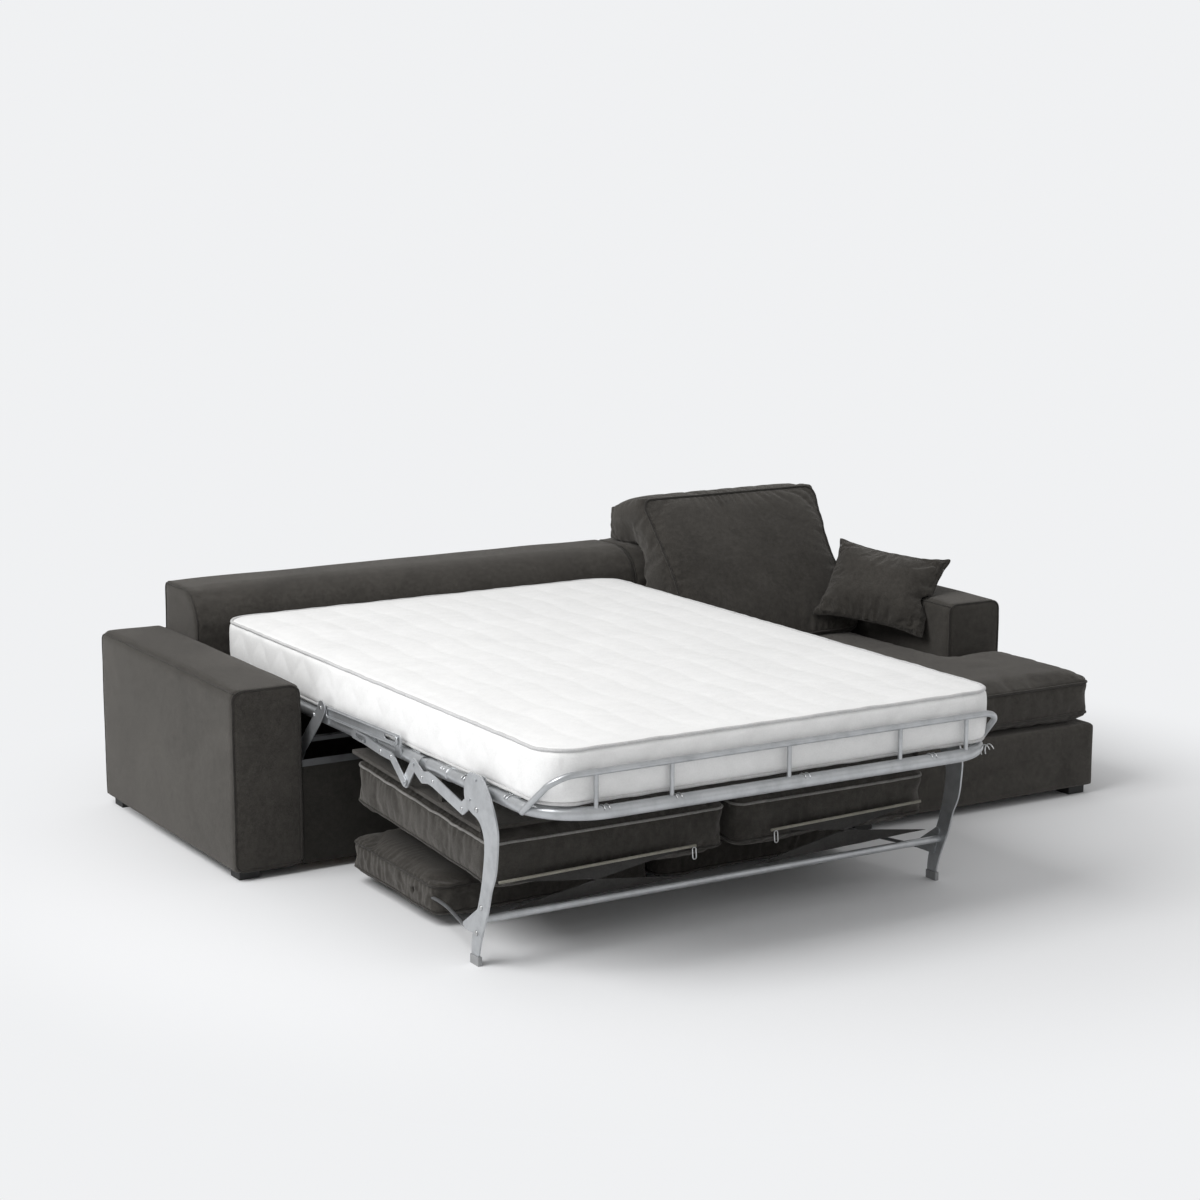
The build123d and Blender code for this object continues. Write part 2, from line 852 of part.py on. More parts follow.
with BuildPart() as mattress_trim:
    add(soft_box_piping(
        mattress_base, mattress_width, mattress_length, mattress_height, mattress_corner, mattress_piping
    ))
finish(mattress_trim, "mattress_piping")

# Links of the folding frame


def with_holes(solid, holes, start, end):
    """A link with round holes, given as place and diameter."""
    with BuildPart() as shape:
        add(solid)
        for place, diameter in holes:
            add(cross_pin(place, start - overrun, end + overrun, diameter), mode=Mode.SUBTRACT)
    return shape.part


free_hole = pivot_pin + 2 * pin_fit

with BuildPart() as swing_plate_left:
    add(with_holes(
        strap(swing_points, swing_width, swing_near, swing_far), ((swing_pivot, free_hole),),
        swing_near, swing_far,
    ))
finish(swing_plate_left, "swing_plate_left")

with BuildPart() as swing_plate_right:
    add(mirrored(swing_plate_left.part))
finish(swing_plate_right, "swing_plate_right")

with BuildPart() as swing_bar:
    add(block(
        (swing_far, bed_left + bed_right - swing_far),
        (swing_bar_place[0] - swing_bar_width / 2, swing_bar_place[0] + swing_bar_width / 2),
        (swing_bar_place[1] - swing_bar_height / 2, swing_bar_place[1] + swing_bar_height / 2),
    ))
finish(swing_bar, "swing_bar")


def toward(start, end, distance):
    """The place at a distance from start on the way to end."""
    share = distance / hypot(end[0] - start[0], end[1] - start[1])
    return start[0] + (end[0] - start[0]) * share, start[1] + (end[1] - start[1]) * share


link_slot_rear = toward(link_pin, link_pivot, link_slide + stud_diameter / 2)
link_slot_front = toward(link_pin, link_pivot, -stud_diameter / 2)
link_end = toward(link_pin, link_pivot, -stud_diameter)
rail_rear = toward(link_pivot, link_pin, pin_head)
rail_offset = (link_width - link_rail_width) / 2 - link_rail_margin

with BuildPart() as slotted_link_left:
    add(strap((link_pivot, link_end), link_width, link_near + link_rail_height, link_far))
    for way in (-rail_offset, rail_offset):
        add(strap(
            ((rail_rear[0], rail_rear[1] + way), (link_end[0], link_end[1] + way)), link_rail_width,
            link_near, link_near + link_rail_height + stud_wall / 2,
        ))
    add(strap((link_slot_rear, link_slot_front), link_slot_width, link_near - overrun, link_far + overrun),
        mode=Mode.SUBTRACT)
    add(cross_pin(link_pivot, link_near - overrun, link_far + overrun, stud_diameter + 2 * pin_fit),
        mode=Mode.SUBTRACT)
finish(slotted_link_left, "slotted_link_left")

with BuildPart() as slotted_link_right:
    add(mirrored(slotted_link_left.part))
finish(slotted_link_right, "slotted_link_right")

with BuildPart() as crank_plate_left:
    add(with_holes(
        strap(crank_points, crank_width, crank_near, crank_far),
        ((crank_pivot, free_hole), (crank_leg_pin, stud_diameter + 2 * crank_play)),
        crank_near, crank_far,
    ))
    add(cross_pin(crank_arm_pin, arm_near - pin_head_height, crank_far, stud_diameter))
finish(crank_plate_left, "crank_plate_left")

with BuildPart() as crank_plate_right:
    add(mirrored(crank_plate_left.part))
finish(crank_plate_right, "crank_plate_right")

arm_slot_front = toward(arm_points[3], arm_points[2], stud_diameter / 2)
arm_slot_rear = toward(arm_points[3], arm_points[4], arm_slide)

with BuildPart() as channel_arm_left:
    add(strap(arm_points, arm_strap_width, arm_near, arm_far))
    add(strap((arm_slot_rear, arm_slot_front), arm_slot_width, arm_near - overrun, arm_far + overrun),
        mode=Mode.SUBTRACT)
    add(cross_pin(
        crank_arm_pin, arm_near - overrun, arm_far + overrun, stud_diameter + 2 * pin_fit
    ), mode=Mode.SUBTRACT)
finish(channel_arm_left, "channel_arm_left")

with BuildPart() as channel_arm_right:
    add(mirrored(channel_arm_left.part))
finish(channel_arm_right, "channel_arm_right")

# Legs


def leg_point(share):
    """A point of the leg's outline from its shares of the bow and the height."""
    return leg_pivot[0] + leg_bow * share[0], leg_height * share[1]


with BuildPart() as leg_plate_left:
    with BuildSketch(side_plane(leg_far)):
        with BuildLine():
            front_edge = Spline(*[leg_point(share) for share in leg_front_shares])
            rear_edge_line = Spline(*[leg_point(share) for share in leg_rear_shares])
            Line(front_edge @ 1, rear_edge_line @ 0)
            Line(rear_edge_line @ 1, front_edge @ 0)
        make_face()
    extrude(amount=leg_far - leg_near)
    add(cross_pin(leg_pivot, leg_near - overrun, leg_far + overrun, stud_diameter + 2 * pin_fit),
        mode=Mode.SUBTRACT)
    add(cross_pin(crank_leg_pin, leg_near - pin_head_height, crank_far, stud_diameter))
finish(leg_plate_left, "leg_plate_left")

with BuildPart() as leg_plate_right:
    add(mirrored(leg_plate_left.part))
finish(leg_plate_right, "leg_plate_right")

cap_middle = leg_point((-0.1, 0))[0]

with BuildPart() as foot_caps:
    add(both_sides(block(
        (leg_near - foot_cap_wall, leg_far + foot_cap_wall),
        (cap_middle - foot_cap_length / 2, cap_middle + foot_cap_length / 2),
        (0, foot_cap_height),
    )))
    add(leg_plate_left.part, mode=Mode.SUBTRACT)
    add(leg_plate_right.part, mode=Mode.SUBTRACT)
finish(foot_caps, "foot_caps")

with BuildPart() as leg_cross_tube:
    add(crosswise_tube(
        leg_tube_place[0], leg_tube_place[1], leg_tube, leg_far, bed_left + bed_right - leg_far
    ))
finish(leg_cross_tube, "leg_cross_tube")

with BuildPart() as gusset_left:
    with BuildSketch(side_plane(leg_far + gusset_thickness)) as gusset_outline:
        with BuildLine():
            Polyline(*gusset_points, close=True)
        make_face()
        fillet(gusset_outline.vertices(), gusset_corner)
    extrude(amount=gusset_thickness)
    add(leg_cross_tube.part, mode=Mode.SUBTRACT)
finish(gusset_left, "gusset_left")

with BuildPart() as gusset_right:
    add(mirrored(gusset_left.part))
finish(gusset_right, "gusset_right")

# Cushions below the bed

seat_depth = hypot(seat_front[0] - seat_rear[0], seat_front[1] - seat_rear[1])


def seat_base(left, right):
    """The lower plane of a seat cushion between two places across."""
    return tilted_base(seat_rear, seat_front, (left + right) / 2, seat_thickness)


seat_cushion_places = {
    "left": (seat_left, seat_split),
    "right": (seat_split + seat_split_gap, seat_right),
}

for side_name, (left, right) in seat_cushion_places.items():
    with BuildPart() as seat_cushion:
        add(soft_box(seat_base(left, right), right - left, seat_depth, seat_thickness, seat_corner))
    finish(seat_cushion, f"seat_cushion_{side_name}")
    with BuildPart() as seat_piping:
        add(soft_box_piping(
            seat_base(left, right), right - left, seat_depth, seat_thickness, seat_corner, piping_diameter
        ))
    finish(seat_piping, f"seat_piping_{side_name}")

board_plane = tilted_base(seat_rear, seat_front, bed_middle, -soft_gap)

with BuildPart() as seat_board:
    with BuildSketch(board_plane):
        Rectangle(bed_opening - 2 * tube_inset + hanger_width, seat_depth - 2 * seat_board_margin)
    extrude(amount=seat_board_thickness)
    for place in hanger_places:
        add(both_sides(block(
            (tube_across - hanger_thickness / 2, tube_across + hanger_thickness / 2),
            (place - hanger_width / 2, place + hanger_width / 2),
            (seat_front[1] + seat_board_thickness, tube_up),
        )))
    add(foot_frame.part, mode=Mode.SUBTRACT)
finish(seat_board, "seat_board")

zip_tops = {"left": zip_left, "right": zip_right}

for side_name, (left, right) in zip_tops.items():
    base = seat_base(left, right)
    zip_plane = Plane(
        origin=base.origin - base.y_dir * (seat_depth / 2 + soft_gap), x_dir=base.x_dir, z_dir=-base.y_dir
    )
    half = (right - left) / 2
    low = seat_thickness * piping_share + piping_diameter
    with BuildPart() as zip_panel:
        with BuildSketch(zip_plane):
            with BuildLine():
                Polyline(
                    (-half, low + zip_panel_height), (half, low + zip_panel_height),
                    (half - zip_taper, low), (zip_taper - half, low),
                    close=True,
                )
            make_face()
        extrude(amount=zip_panel_thickness)
    finish(zip_panel, f"zip_panel_{side_name}")

pad_depth = hypot(back_pad_front[0] - back_pad_rear[0], back_pad_front[1] - back_pad_rear[1])
pad_places = {
    "left": (back_pad_left, back_pad_split - back_pad_split_gap / 2),
    "right": (back_pad_split + back_pad_split_gap / 2, back_pad_right),
}
pad_rail_near = leg_far + gusset_thickness

with BuildPart() as pad_carrier:
    add(both_sides(block(
        (pad_rail_near, pad_rail_near + pad_rail_thickness),
        (pad_rail_rear, gusset_points[2][0] + hanger_width),
        (pad_rail_up - pad_rail_height / 2, pad_rail_up + pad_rail_height / 2),
    )))
    for place in pad_rod_places:
        add(crosswise_tube(
            place, pad_rail_up, pad_rod, pad_rail_near, bed_left + bed_right - pad_rail_near
        ))
finish(pad_carrier, "pad_carrier")

for side_name, (left, right) in pad_places.items():
    pad_base = tilted_base(back_pad_rear, back_pad_front, (left + right) / 2, back_pad_thickness)
    with BuildPart() as back_pad:
        add(soft_box(pad_base, right - left, pad_depth, back_pad_thickness, back_pad_corner))
        for place in pad_rod_places:
            add(crosswise_tube(
                place, pad_rail_up, pad_rod + 2 * soft_gap, left - overrun, right + overrun
            ), mode=Mode.SUBTRACT)
    finish(back_pad, f"back_pad_{side_name}")
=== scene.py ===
"""Looks of a corner sofa bed with its bed folded out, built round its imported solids.

Places are written as in the part's source, in millimetres: across from the left arm's outer side,
forward from the rear plane and up from the floor. place() turns them into the model's metres.
"""

import json
from math import pi, radians

import bmesh
import bpy
import numpy as np
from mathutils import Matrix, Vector
from mathutils.bvhtree import BVHTree


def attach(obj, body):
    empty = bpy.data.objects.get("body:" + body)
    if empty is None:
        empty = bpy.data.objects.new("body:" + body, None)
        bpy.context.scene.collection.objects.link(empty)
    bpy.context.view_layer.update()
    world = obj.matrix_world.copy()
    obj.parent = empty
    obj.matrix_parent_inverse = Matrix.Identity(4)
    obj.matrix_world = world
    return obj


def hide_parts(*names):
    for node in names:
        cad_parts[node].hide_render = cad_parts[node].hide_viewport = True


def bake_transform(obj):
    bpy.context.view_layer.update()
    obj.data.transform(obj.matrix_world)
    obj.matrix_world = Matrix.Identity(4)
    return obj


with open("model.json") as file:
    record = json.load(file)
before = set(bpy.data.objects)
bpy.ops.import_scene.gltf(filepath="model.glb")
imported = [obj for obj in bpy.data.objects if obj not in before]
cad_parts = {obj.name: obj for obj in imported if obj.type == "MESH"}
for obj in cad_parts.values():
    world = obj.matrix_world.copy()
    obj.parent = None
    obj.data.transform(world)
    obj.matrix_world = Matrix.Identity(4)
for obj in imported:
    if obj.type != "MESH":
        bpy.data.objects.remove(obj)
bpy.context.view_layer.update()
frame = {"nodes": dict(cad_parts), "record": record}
nodes = frame["nodes"]

# Sizes that several pieces share, in millimetres
half_width, half_reach = 1375, 1172.5
arm_right, arm_width, arm_top, sofa_depth = 2535, 215, 555, 1025
bed_middle, bed_right = 980, 1745
tube_left, tube_right, tube_up, tube_radius = 280, 1680, 452, 17.5
mattress = dict(left=280, right=1680, rear=290, front=2290, bottom=474.5, top=617, corner=150)
seat_rear, seat_front, seat_thickness = (1220, 392), (2005, 340), 172
seat_corner, pad_corner, cord = 30, 40, 4.5


# ---------------------------------------------------------------- places and grids

def place(points):
    """Places as model points in metres: across, forward and up become X, minus Y and Z."""
    points = np.asarray(points, float)
    return np.stack([points[..., 0] - half_width, half_reach - points[..., 1], points[..., 2]], -1) / 1000


def unit(vectors):
    """Vectors divided by their lengths."""
    return vectors / np.maximum(np.linalg.norm(vectors, axis=-1, keepdims=True), 1e-12)


def smooth_step(share):
    """Three times the square less twice the cube, from 0 to 1."""
    share = np.clip(share, 0, 1)
    return share * share * (3 - 2 * share)


def cells(rows, columns, closed_rows=False, closed_columns=False):
    """The four corner numbers of each cell of a grid of points that is counted row by row."""
    row = np.arange(rows if closed_rows else rows - 1)[:, None]
    column = np.arange(columns if closed_columns else columns - 1)[None, :]
    next_row, next_column = (row + 1) % rows, (column + 1) % columns
    corners = (row * columns + column, row * columns + next_column,
               next_row * columns + next_column, next_row * columns + column)
    return np.stack(corners, -1).reshape(-1, 4)


def ripple(points, length, seed, waves=9):
    """Smooth bumps from -1 to 1: the mean of sine waves in seeded directions, about one length long."""
    draw = np.random.default_rng(seed)
    ways = unit(draw.normal(size=(waves, 3))) * draw.uniform(0.6, 1.7, (waves, 1)) * 2 * pi / length
    return np.sin(points @ ways.T + draw.uniform(0, 2 * pi, waves)).mean(-1) * 1.6


def evenly(path, spacing, closed=True):
    """A path's points again at an even spacing along its length."""
    path = np.vstack([path, path[:1]]) if closed else path
    gone = np.concatenate([[0], np.cumsum(np.linalg.norm(np.diff(path, axis=0), axis=1))])
    count = max(int(round(gone[-1] / spacing)), 8)
    wanted = np.linspace(0, gone[-1], count, endpoint=not closed)
    return np.stack([np.interp(wanted, gone, path[:, axis]) for axis in range(path.shape[1])], -1)


def rounded(corners, radius, closed=True, steps=9):
    """A path through corners, each cut by a curve that leaves and joins the sides one radius away."""
    corners = np.asarray(corners, float)
    before = np.roll(corners, 1, 0)
    after = np.roll(corners, -1, 0)
    start = corners + unit(before - corners) * radius
    end = corners + unit(after - corners) * radius
    share = np.linspace(0, 1, steps)[None, :, None]
    bends = ((1 - share) ** 2 * start[:, None] + 2 * share * (1 - share) * (corners * 0.55 + (start + end) * 0.225)[:, None]
             + share ** 2 * end[:, None])
    if closed:
        return bends.reshape(-1, corners.shape[1])
    return np.vstack([corners[:1], bends[1:-1].reshape(-1, corners.shape[1]), corners[-1:]])


def ring_tube(path, radius, facing, sides=10, closed=True):
    """Points and faces of a tube: rings across a path's run, turned to face one way, with closed ends."""
    run = unit(np.roll(path, -1, 0) - np.roll(path, 1, 0)) if closed else unit(np.gradient(path, axis=0))
    side = unit(np.cross(run, np.broadcast_to(facing, run.shape)))
    lift = np.cross(side, run)
    turn = np.linspace(0, 2 * pi, sides, endpoint=False)
    radius = np.broadcast_to(radius, len(path))[:, None, None]
    points = path[:, None] + radius * (side[:, None] * np.cos(turn)[:, None] + lift[:, None] * np.sin(turn)[:, None])
    faces = cells(len(path), sides, closed, True).tolist()
    if not closed:
        last = (len(path) - 1) * sides
        faces += [list(range(sides)), list(range(last, last + sides))]
    return points.reshape(-1, 3), faces


def turned(profile, spots, axis, side, sides=14):
    """Points and faces of the same turned form at many spots. The profile is (radius, height) pairs that
    start and end at radius 0; a ring stands round the axis at each pair, and single points close both ends."""
    profile, spots = np.asarray(profile, float), np.asarray(spots, float)
    axis, side = unit(np.asarray(axis, float)), unit(np.asarray(side, float))
    turn = np.linspace(0, 2 * pi, sides, endpoint=False)
    ring = side * np.cos(turn)[:, None] + np.cross(axis, side) * np.sin(turn)[:, None]
    rings = profile[1:-1, 0, None, None] * ring + profile[1:-1, 1, None, None] * axis
    form = np.vstack([rings.reshape(-1, 3), profile[0, 1] * axis, profile[-1, 1] * axis])
    around, last = np.arange(sides), (len(profile) - 3) * sides
    low, high = len(form) - 2, len(form) - 1
    faces = cells(len(profile) - 2, sides, False, True).tolist()
    faces += [[low, (i + 1) % sides, i] for i in around.tolist()]
    faces += [[high, last + i, last + (i + 1) % sides] for i in around.tolist()]
    points = (spots[:, None] + form[None]).reshape(-1, 3)
    return points, [[i + n * len(form) for i in face] for n in range(len(spots)) for face in faces]


def joined(*forms):
    """Several sets of points and faces as one."""
    points, faces, start = [], [], 0
    for form_points, form_faces in forms:
        points.append(np.asarray(form_points).reshape(-1, 3))
        faces += [[i + start for i in face] for face in form_faces]
        start += len(points[-1])
    return np.vstack(points), faces


# ---------------------------------------------------------------- objects

def object_of(name, mesh, *materials):
    """An object for a mesh, with its finishes."""
    if mesh.materials:
        mesh.materials.clear()
    for material in materials:
        mesh.materials.append(material)
    mesh.shade_smooth()
    made = bpy.data.objects.new(name, mesh)
    bpy.context.scene.collection.objects.link(made)
    return made


def outward(mesh):
    """Merges doubled points and turns every face outwards."""
    work = bmesh.new()
    work.from_mesh(mesh)
    bmesh.ops.remove_doubles(work, verts=work.verts, dist=1e-6)
    bmesh.ops.recalc_face_normals(work, faces=work.faces)
    work.to_mesh(mesh)
    work.free()


def solid(name, form, materials, trim_from=None):
    """An object from points in metres and faces. Faces from trim_from on have the second material."""
    points, faces = form
    mesh = bpy.data.meshes.new(name)
    mesh.from_pydata(np.asarray(points).reshape(-1, 3).tolist(), [], faces)
    if trim_from is not None:
        mesh.polygons.foreach_set("material_index", (np.arange(len(faces)) >= trim_from).astype(np.int32))
    outward(mesh)
    return object_of(name, mesh, *materials)


def make(name, form, material, body, replaced=()):
    """A piece from points in metres and faces. It rides on a body and may stand for CAD nodes."""
    made = solid(name, form, (material,))
    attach(made, body)
    if replaced:
        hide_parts(*replaced)
    return made


def laid_on(cover, path, lift):
    """A path of model points moved onto a cover's nearest skin, evened out and raised along its normal."""
    skin = BVHTree.FromPolygons(corners_of(cover.data).tolist(), [tuple(face.vertices) for face in cover.data.polygons])
    found = [skin.find_nearest(Vector(spot)) for spot in path]
    spots = np.array([list(hit[0]) for hit in found])
    normals = np.array([list(hit[1]) for hit in found])
    for _ in range(3):
        spots[1:-1] = (spots[:-2] + 2 * spots[1:-1] + spots[2:]) / 4
        normals[1:-1] = (normals[:-2] + 2 * normals[1:-1] + normals[2:]) / 4
    return spots + unit(normals) * lift / 1000


def wire(path, radius, facing=(0, 0, 1), sides=10, closed=False, spacing=6):
    """A tube of one thickness along a path of places, with sizes in millimetres."""
    return ring_tube(place(evenly(np.asarray(path, float), spacing, closed)), radius / 1000, facing, sides, closed)


def both_ways(path):
    """A path of places on the bed's left side, and its mirror image on the right side."""
    path = np.asarray(path, float)
    return path, path * (-1, 1, 1) + (2 * bed_middle, 0, 0)


def slab(outline, thickness_way):
    """A flat plate: an outline of places and the same outline moved by one vector, joined round the edge."""
    outline = np.asarray(outline, float)
    count = len(outline)
    points = place(np.vstack([outline, outline + np.asarray(thickness_way, float)]))
    sides = [[i, (i + 1) % count, count + (i + 1) % count, count + i] for i in range(count)]
    return points, sides + [list(range(count)), list(range(count, 2 * count))]


def corners_of(mesh):
    """A mesh's points as an array."""
    points = np.empty(len(mesh.vertices) * 3)
    mesh.vertices.foreach_get("co", points)
    return points.reshape(-1, 3)


def normals_of(mesh):
    """A mesh's point normals as an array."""
    normals = np.empty(len(mesh.vertices) * 3, np.float32)
    mesh.vertices.foreach_get("normal", normals)
    return normals.reshape(-1, 3).astype(float)


def places_of(points):
    """Model points in metres as places in millimetres."""
    return np.stack([points[:, 0] * 1000 + half_width, half_reach - points[:, 1] * 1000, points[:, 2] * 1000], -1)


def move_to(mesh, points):
    """Gives a mesh's points new places."""
    mesh.vertices.foreach_set("co", np.asarray(points, np.float32).ravel())
    mesh.update()


def final_mesh(made):
    """The mesh of an object with its modifiers applied."""
    graph = bpy.context.evaluated_depsgraph_get()
    return bpy.data.meshes.new_from_object(made.evaluated_get(graph))


def apply_all(made):
    """Puts an object's modifiers into its mesh."""
    mesh = final_mesh(made)
    made.modifiers.clear()
    made.data = mesh


def distance_to(points, seams):
    """How far each point is from the nearest seam point, and how far along the seams that one is."""
    seam = np.vstack(seams)
    along = np.arange(len(seam)) * np.linalg.norm(seam[1] - seam[0])
    best, where = np.empty(len(points)), np.empty(len(points))
    for start in range(0, len(points), 4000):
        gap = np.linalg.norm(points[start:start + 4000, None] - seam[None], axis=2)
        nearest = gap.argmin(1)
        best[start:start + 4000] = gap[np.arange(len(gap)), nearest]
        where[start:start + 4000] = along[nearest]
    return best, where


def skin_of(name, node, voxel, drawn_in, material):
    """A copy of a CAD node's skin in even cells: merged, drawn in along its normals and remeshed."""
    mesh = nodes[node].data.copy()
    outward(mesh)
    move_to(mesh, corners_of(mesh) - normals_of(mesh) * drawn_in / 1000)
    made = object_of(name, mesh, material)
    remesh = made.modifiers.new("Cells", "REMESH")
    remesh.mode, remesh.voxel_size, remesh.use_smooth_shade = "VOXEL", voxel / 1000, True
    even = made.modifiers.new("Even", "SMOOTH")
    even.factor, even.iterations = 0.5, 4
    apply_all(made)
    return made


def swell(made, seams, pressure, slack, most, frames=20):
    """Blows a skin up as cloth: held along its seams, a little too large, and moved by no more than most."""
    mesh = made.data
    start = corners_of(mesh)
    held = distance_to(start, seams)[0] < 0.011
    group = made.vertex_groups.new(name="held")
    group.add(np.flatnonzero(held).tolist(), 1.0, "REPLACE")
    cloth = made.modifiers.new("Cloth", "CLOTH")
    settings = cloth.settings
    settings.quality, settings.mass, settings.air_damping = 5, 0.3, 3
    settings.tension_stiffness = settings.compression_stiffness = 15
    settings.bending_stiffness = 0.6
    settings.use_pressure, settings.uniform_pressure_force = True, pressure
    settings.shrink_min = -slack
    settings.effector_weights.gravity = 0
    settings.vertex_group_mass = "held"
    cloth.collision_settings.use_collision = False
    cloth.point_cache.frame_end = frames
    scene = bpy.context.scene
    for number in range(1, frames + 1):
        scene.frame_set(number)
    blown = final_mesh(made)
    moved = corners_of(blown) - start
    made.modifiers.clear()
    scene.frame_set(1)
    reach = np.linalg.norm(moved, axis=1, keepdims=True)
    moved *= np.tanh(reach / (most / 1000)) * (most / 1000) / np.maximum(reach, 1e-9)
    move_to(mesh, start + moved)
    bpy.data.meshes.remove(blown)


def refine(made, levels=1):
    """Adds one subdivision."""
    finer = made.modifiers.new("Finer", "SUBSURF")
    finer.levels = finer.render_levels = levels
    apply_all(made)
    made.data.shade_smooth()


def gather(made, seams, depth, pitch, reach, seed):
    """Small puckers that run off the seams: a sine along the nearest seam, fading with distance and patchy."""
    points = corners_of(made.data)
    gap, along = distance_to(points, seams)
    waves = np.sin(along * 2000 * pi / pitch + 5 * ripple(points, 0.35, seed))
    patch = smooth_step(0.55 + 0.9 * ripple(points, 0.22, seed + 1))
    push = depth / 1000 * waves * patch * np.exp(-gap * 1000 / reach) * smooth_step(gap / 0.008)
    dent = -1.4 * depth / 1000 * np.exp(-(gap / 0.006) ** 2)
    move_to(made.data, points + normals_of(made.data) * (push + dent)[:, None])


def waver(made, height, length, seed):
    """Slow bumps of a stuffed cover, along the normals."""
    points = corners_of(made.data)
    move_to(made.data, points + normals_of(made.data) * height / 1000 * ripple(points, length / 1000, seed)[:, None])


def bulge(made, height, sharp=4):
    """Rounds out the flat sides of a block: each point moves along its normal by the height times, for the
    side it faces, one less its place's power on the other two axes."""
    points, normals = corners_of(made.data), normals_of(made.data)
    low, high = points.min(0), points.max(0)
    share = np.abs((points - (low + high) / 2) / ((high - low) / 2))
    fall = 1 - np.clip(share, 0, 1) ** sharp
    facing = normals ** 2
    grown = (facing[:, 0] * fall[:, 1] * fall[:, 2] + facing[:, 1] * fall[:, 0] * fall[:, 2]
             + facing[:, 2] * fall[:, 0] * fall[:, 1])
    move_to(made.data, points + normals * (height / 1000 * grown)[:, None])


def stand_for(made, body, node):
    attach(made, body)
    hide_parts(*([node] if isinstance(node, str) else node))
    return made


# ---------------------------------------------------------------- finishes

def node_in(tree, kind, inputs=(), **settings):
    """A shader node with its settings, and its inputs set to values or linked to sockets."""
    made = tree.nodes.new(kind)
    for key, value in settings.items():
        setattr(made, key, value)
    for key, value in dict(inputs).items():
        if isinstance(value, bpy.types.NodeSocket):
            tree.links.new(value, made.inputs[key])
        else:
            made.inputs[key].default_value = value
    return made


def sums(tree, operation, first, second=0.0, third=0.0):
    """A Math node's result."""
    return node_in(tree, "ShaderNodeMath", {0: first, 1: second, 2: third}, operation=operation).outputs[0]


def effect(name, inputs, outputs):
    """An empty node group with named number inputs, and colour or number outputs."""
    tree = bpy.data.node_groups.new(name, "ShaderNodeTree")
    for label, value in inputs.items():
        tree.interface.new_socket(label, in_out="INPUT", socket_type="NodeSocketFloat").default_value = value
    for label in outputs:
        tree.interface.new_socket(label, in_out="OUTPUT", socket_type="NodeSocketFloat")
    return tree, tree.nodes.new("NodeGroupInput").outputs, tree.nodes.new("NodeGroupOutput").inputs


def weave_effect():
    """Woven threads: on each side the product of the sine bands along its two axes, weighed by the square of
    the normal along the third, bent by noise, and fine fibres."""
    tree, given, out = effect("woven_threads", {"Threads": 200.0, "Bend": 0.6}, ("Height", "Thread"))
    places = node_in(tree, "ShaderNodeTexCoord").outputs
    spot, normal = places["Object"], places["Normal"]
    bands = [node_in(tree, "ShaderNodeTexWave", {"Vector": spot, "Scale": given["Threads"], "Distortion": given["Bend"],
                                                 "Detail": 1.0, "Detail Scale": 0.6},
                     wave_type="BANDS", bands_direction=way).outputs["Fac"] for way in "XYZ"]
    squares = node_in(tree, "ShaderNodeVectorMath", {0: normal, 1: normal}, operation="MULTIPLY").outputs["Vector"]
    facing = node_in(tree, "ShaderNodeSeparateXYZ", {0: squares}).outputs
    pairs = 0.0
    for axis in range(3):
        crossed = sums(tree, "MULTIPLY", bands[(axis + 1) % 3], bands[(axis + 2) % 3])
        pairs = sums(tree, "MULTIPLY_ADD", crossed, facing[axis], pairs)
    fibre = node_in(tree, "ShaderNodeTexNoise", {"Vector": spot, "Scale": sums(tree, "MULTIPLY", given["Threads"], 2.6),
                                                 "Detail": 2.0, "Roughness": 0.6}).outputs["Fac"]
    height = sums(tree, "MULTIPLY_ADD", fibre, 0.7, pairs)
    tree.links.new(height, out["Height"])
    tree.links.new(sums(tree, "MULTIPLY_ADD", height, 0.9, 0.25), out["Thread"])
    return tree


def nap_effect():
    """Brushed nap: broad clouds where the pile lies differently, and small mottling."""
    tree, given, out = effect("brushed_nap", {"Cloud": 3.0, "Mottle": 60.0}, ("Shade",))
    spot = node_in(tree, "ShaderNodeTexCoord").outputs["Object"]
    cloud = node_in(tree, "ShaderNodeTexNoise", {"Vector": spot, "Scale": given["Cloud"], "Detail": 4.0,
                                                 "Roughness": 0.62, "Distortion": 0.8}).outputs["Fac"]
    mottle = node_in(tree, "ShaderNodeTexNoise", {"Vector": spot, "Scale": given["Mottle"], "Detail": 5.0,
                                                  "Roughness": 0.7}).outputs["Fac"]
    speck = node_in(tree, "ShaderNodeTexNoise", {"Vector": spot, "Scale": sums(tree, "MULTIPLY", given["Mottle"], 7.0),
                                                 "Detail": 2.0}).outputs["Fac"]
    both = sums(tree, "MULTIPLY_ADD", cloud, 0.9, sums(tree, "MULTIPLY_ADD", mottle, 0.75, sums(tree, "MULTIPLY", speck, 0.7)))
    spread = node_in(tree, "ShaderNodeMapRange", {"Value": both, "From Min": 0.85, "From Max": 1.5})
    tree.links.new(spread.outputs["Result"], out["Shade"])
    return tree


def coat_effect():
    """A sprayed coat: its fine orange peel as height, and thin dusty patches as a mask."""
    tree, given, out = effect("sprayed_coat", {"Peel": 900.0, "Patch": 22.0}, ("Height", "Dust"))
    spot = node_in(tree, "ShaderNodeTexCoord").outputs["Object"]
    peel = node_in(tree, "ShaderNodeTexNoise", {"Vector": spot, "Scale": given["Peel"], "Detail": 2.0}).outputs["Fac"]
    patch = node_in(tree, "ShaderNodeTexNoise", {"Vector": spot, "Scale": given["Patch"], "Detail": 6.0,
                                                 "Roughness": 0.65}).outputs["Fac"]
    tree.links.new(peel, out["Height"])
    spread = node_in(tree, "ShaderNodeMapRange", {"Value": patch, "From Min": 0.42, "From Max": 0.72})
    tree.links.new(spread.outputs["Result"], out["Dust"])
    return tree


effects = {"weave": weave_effect(), "nap": nap_effect(), "coat": coat_effect()}


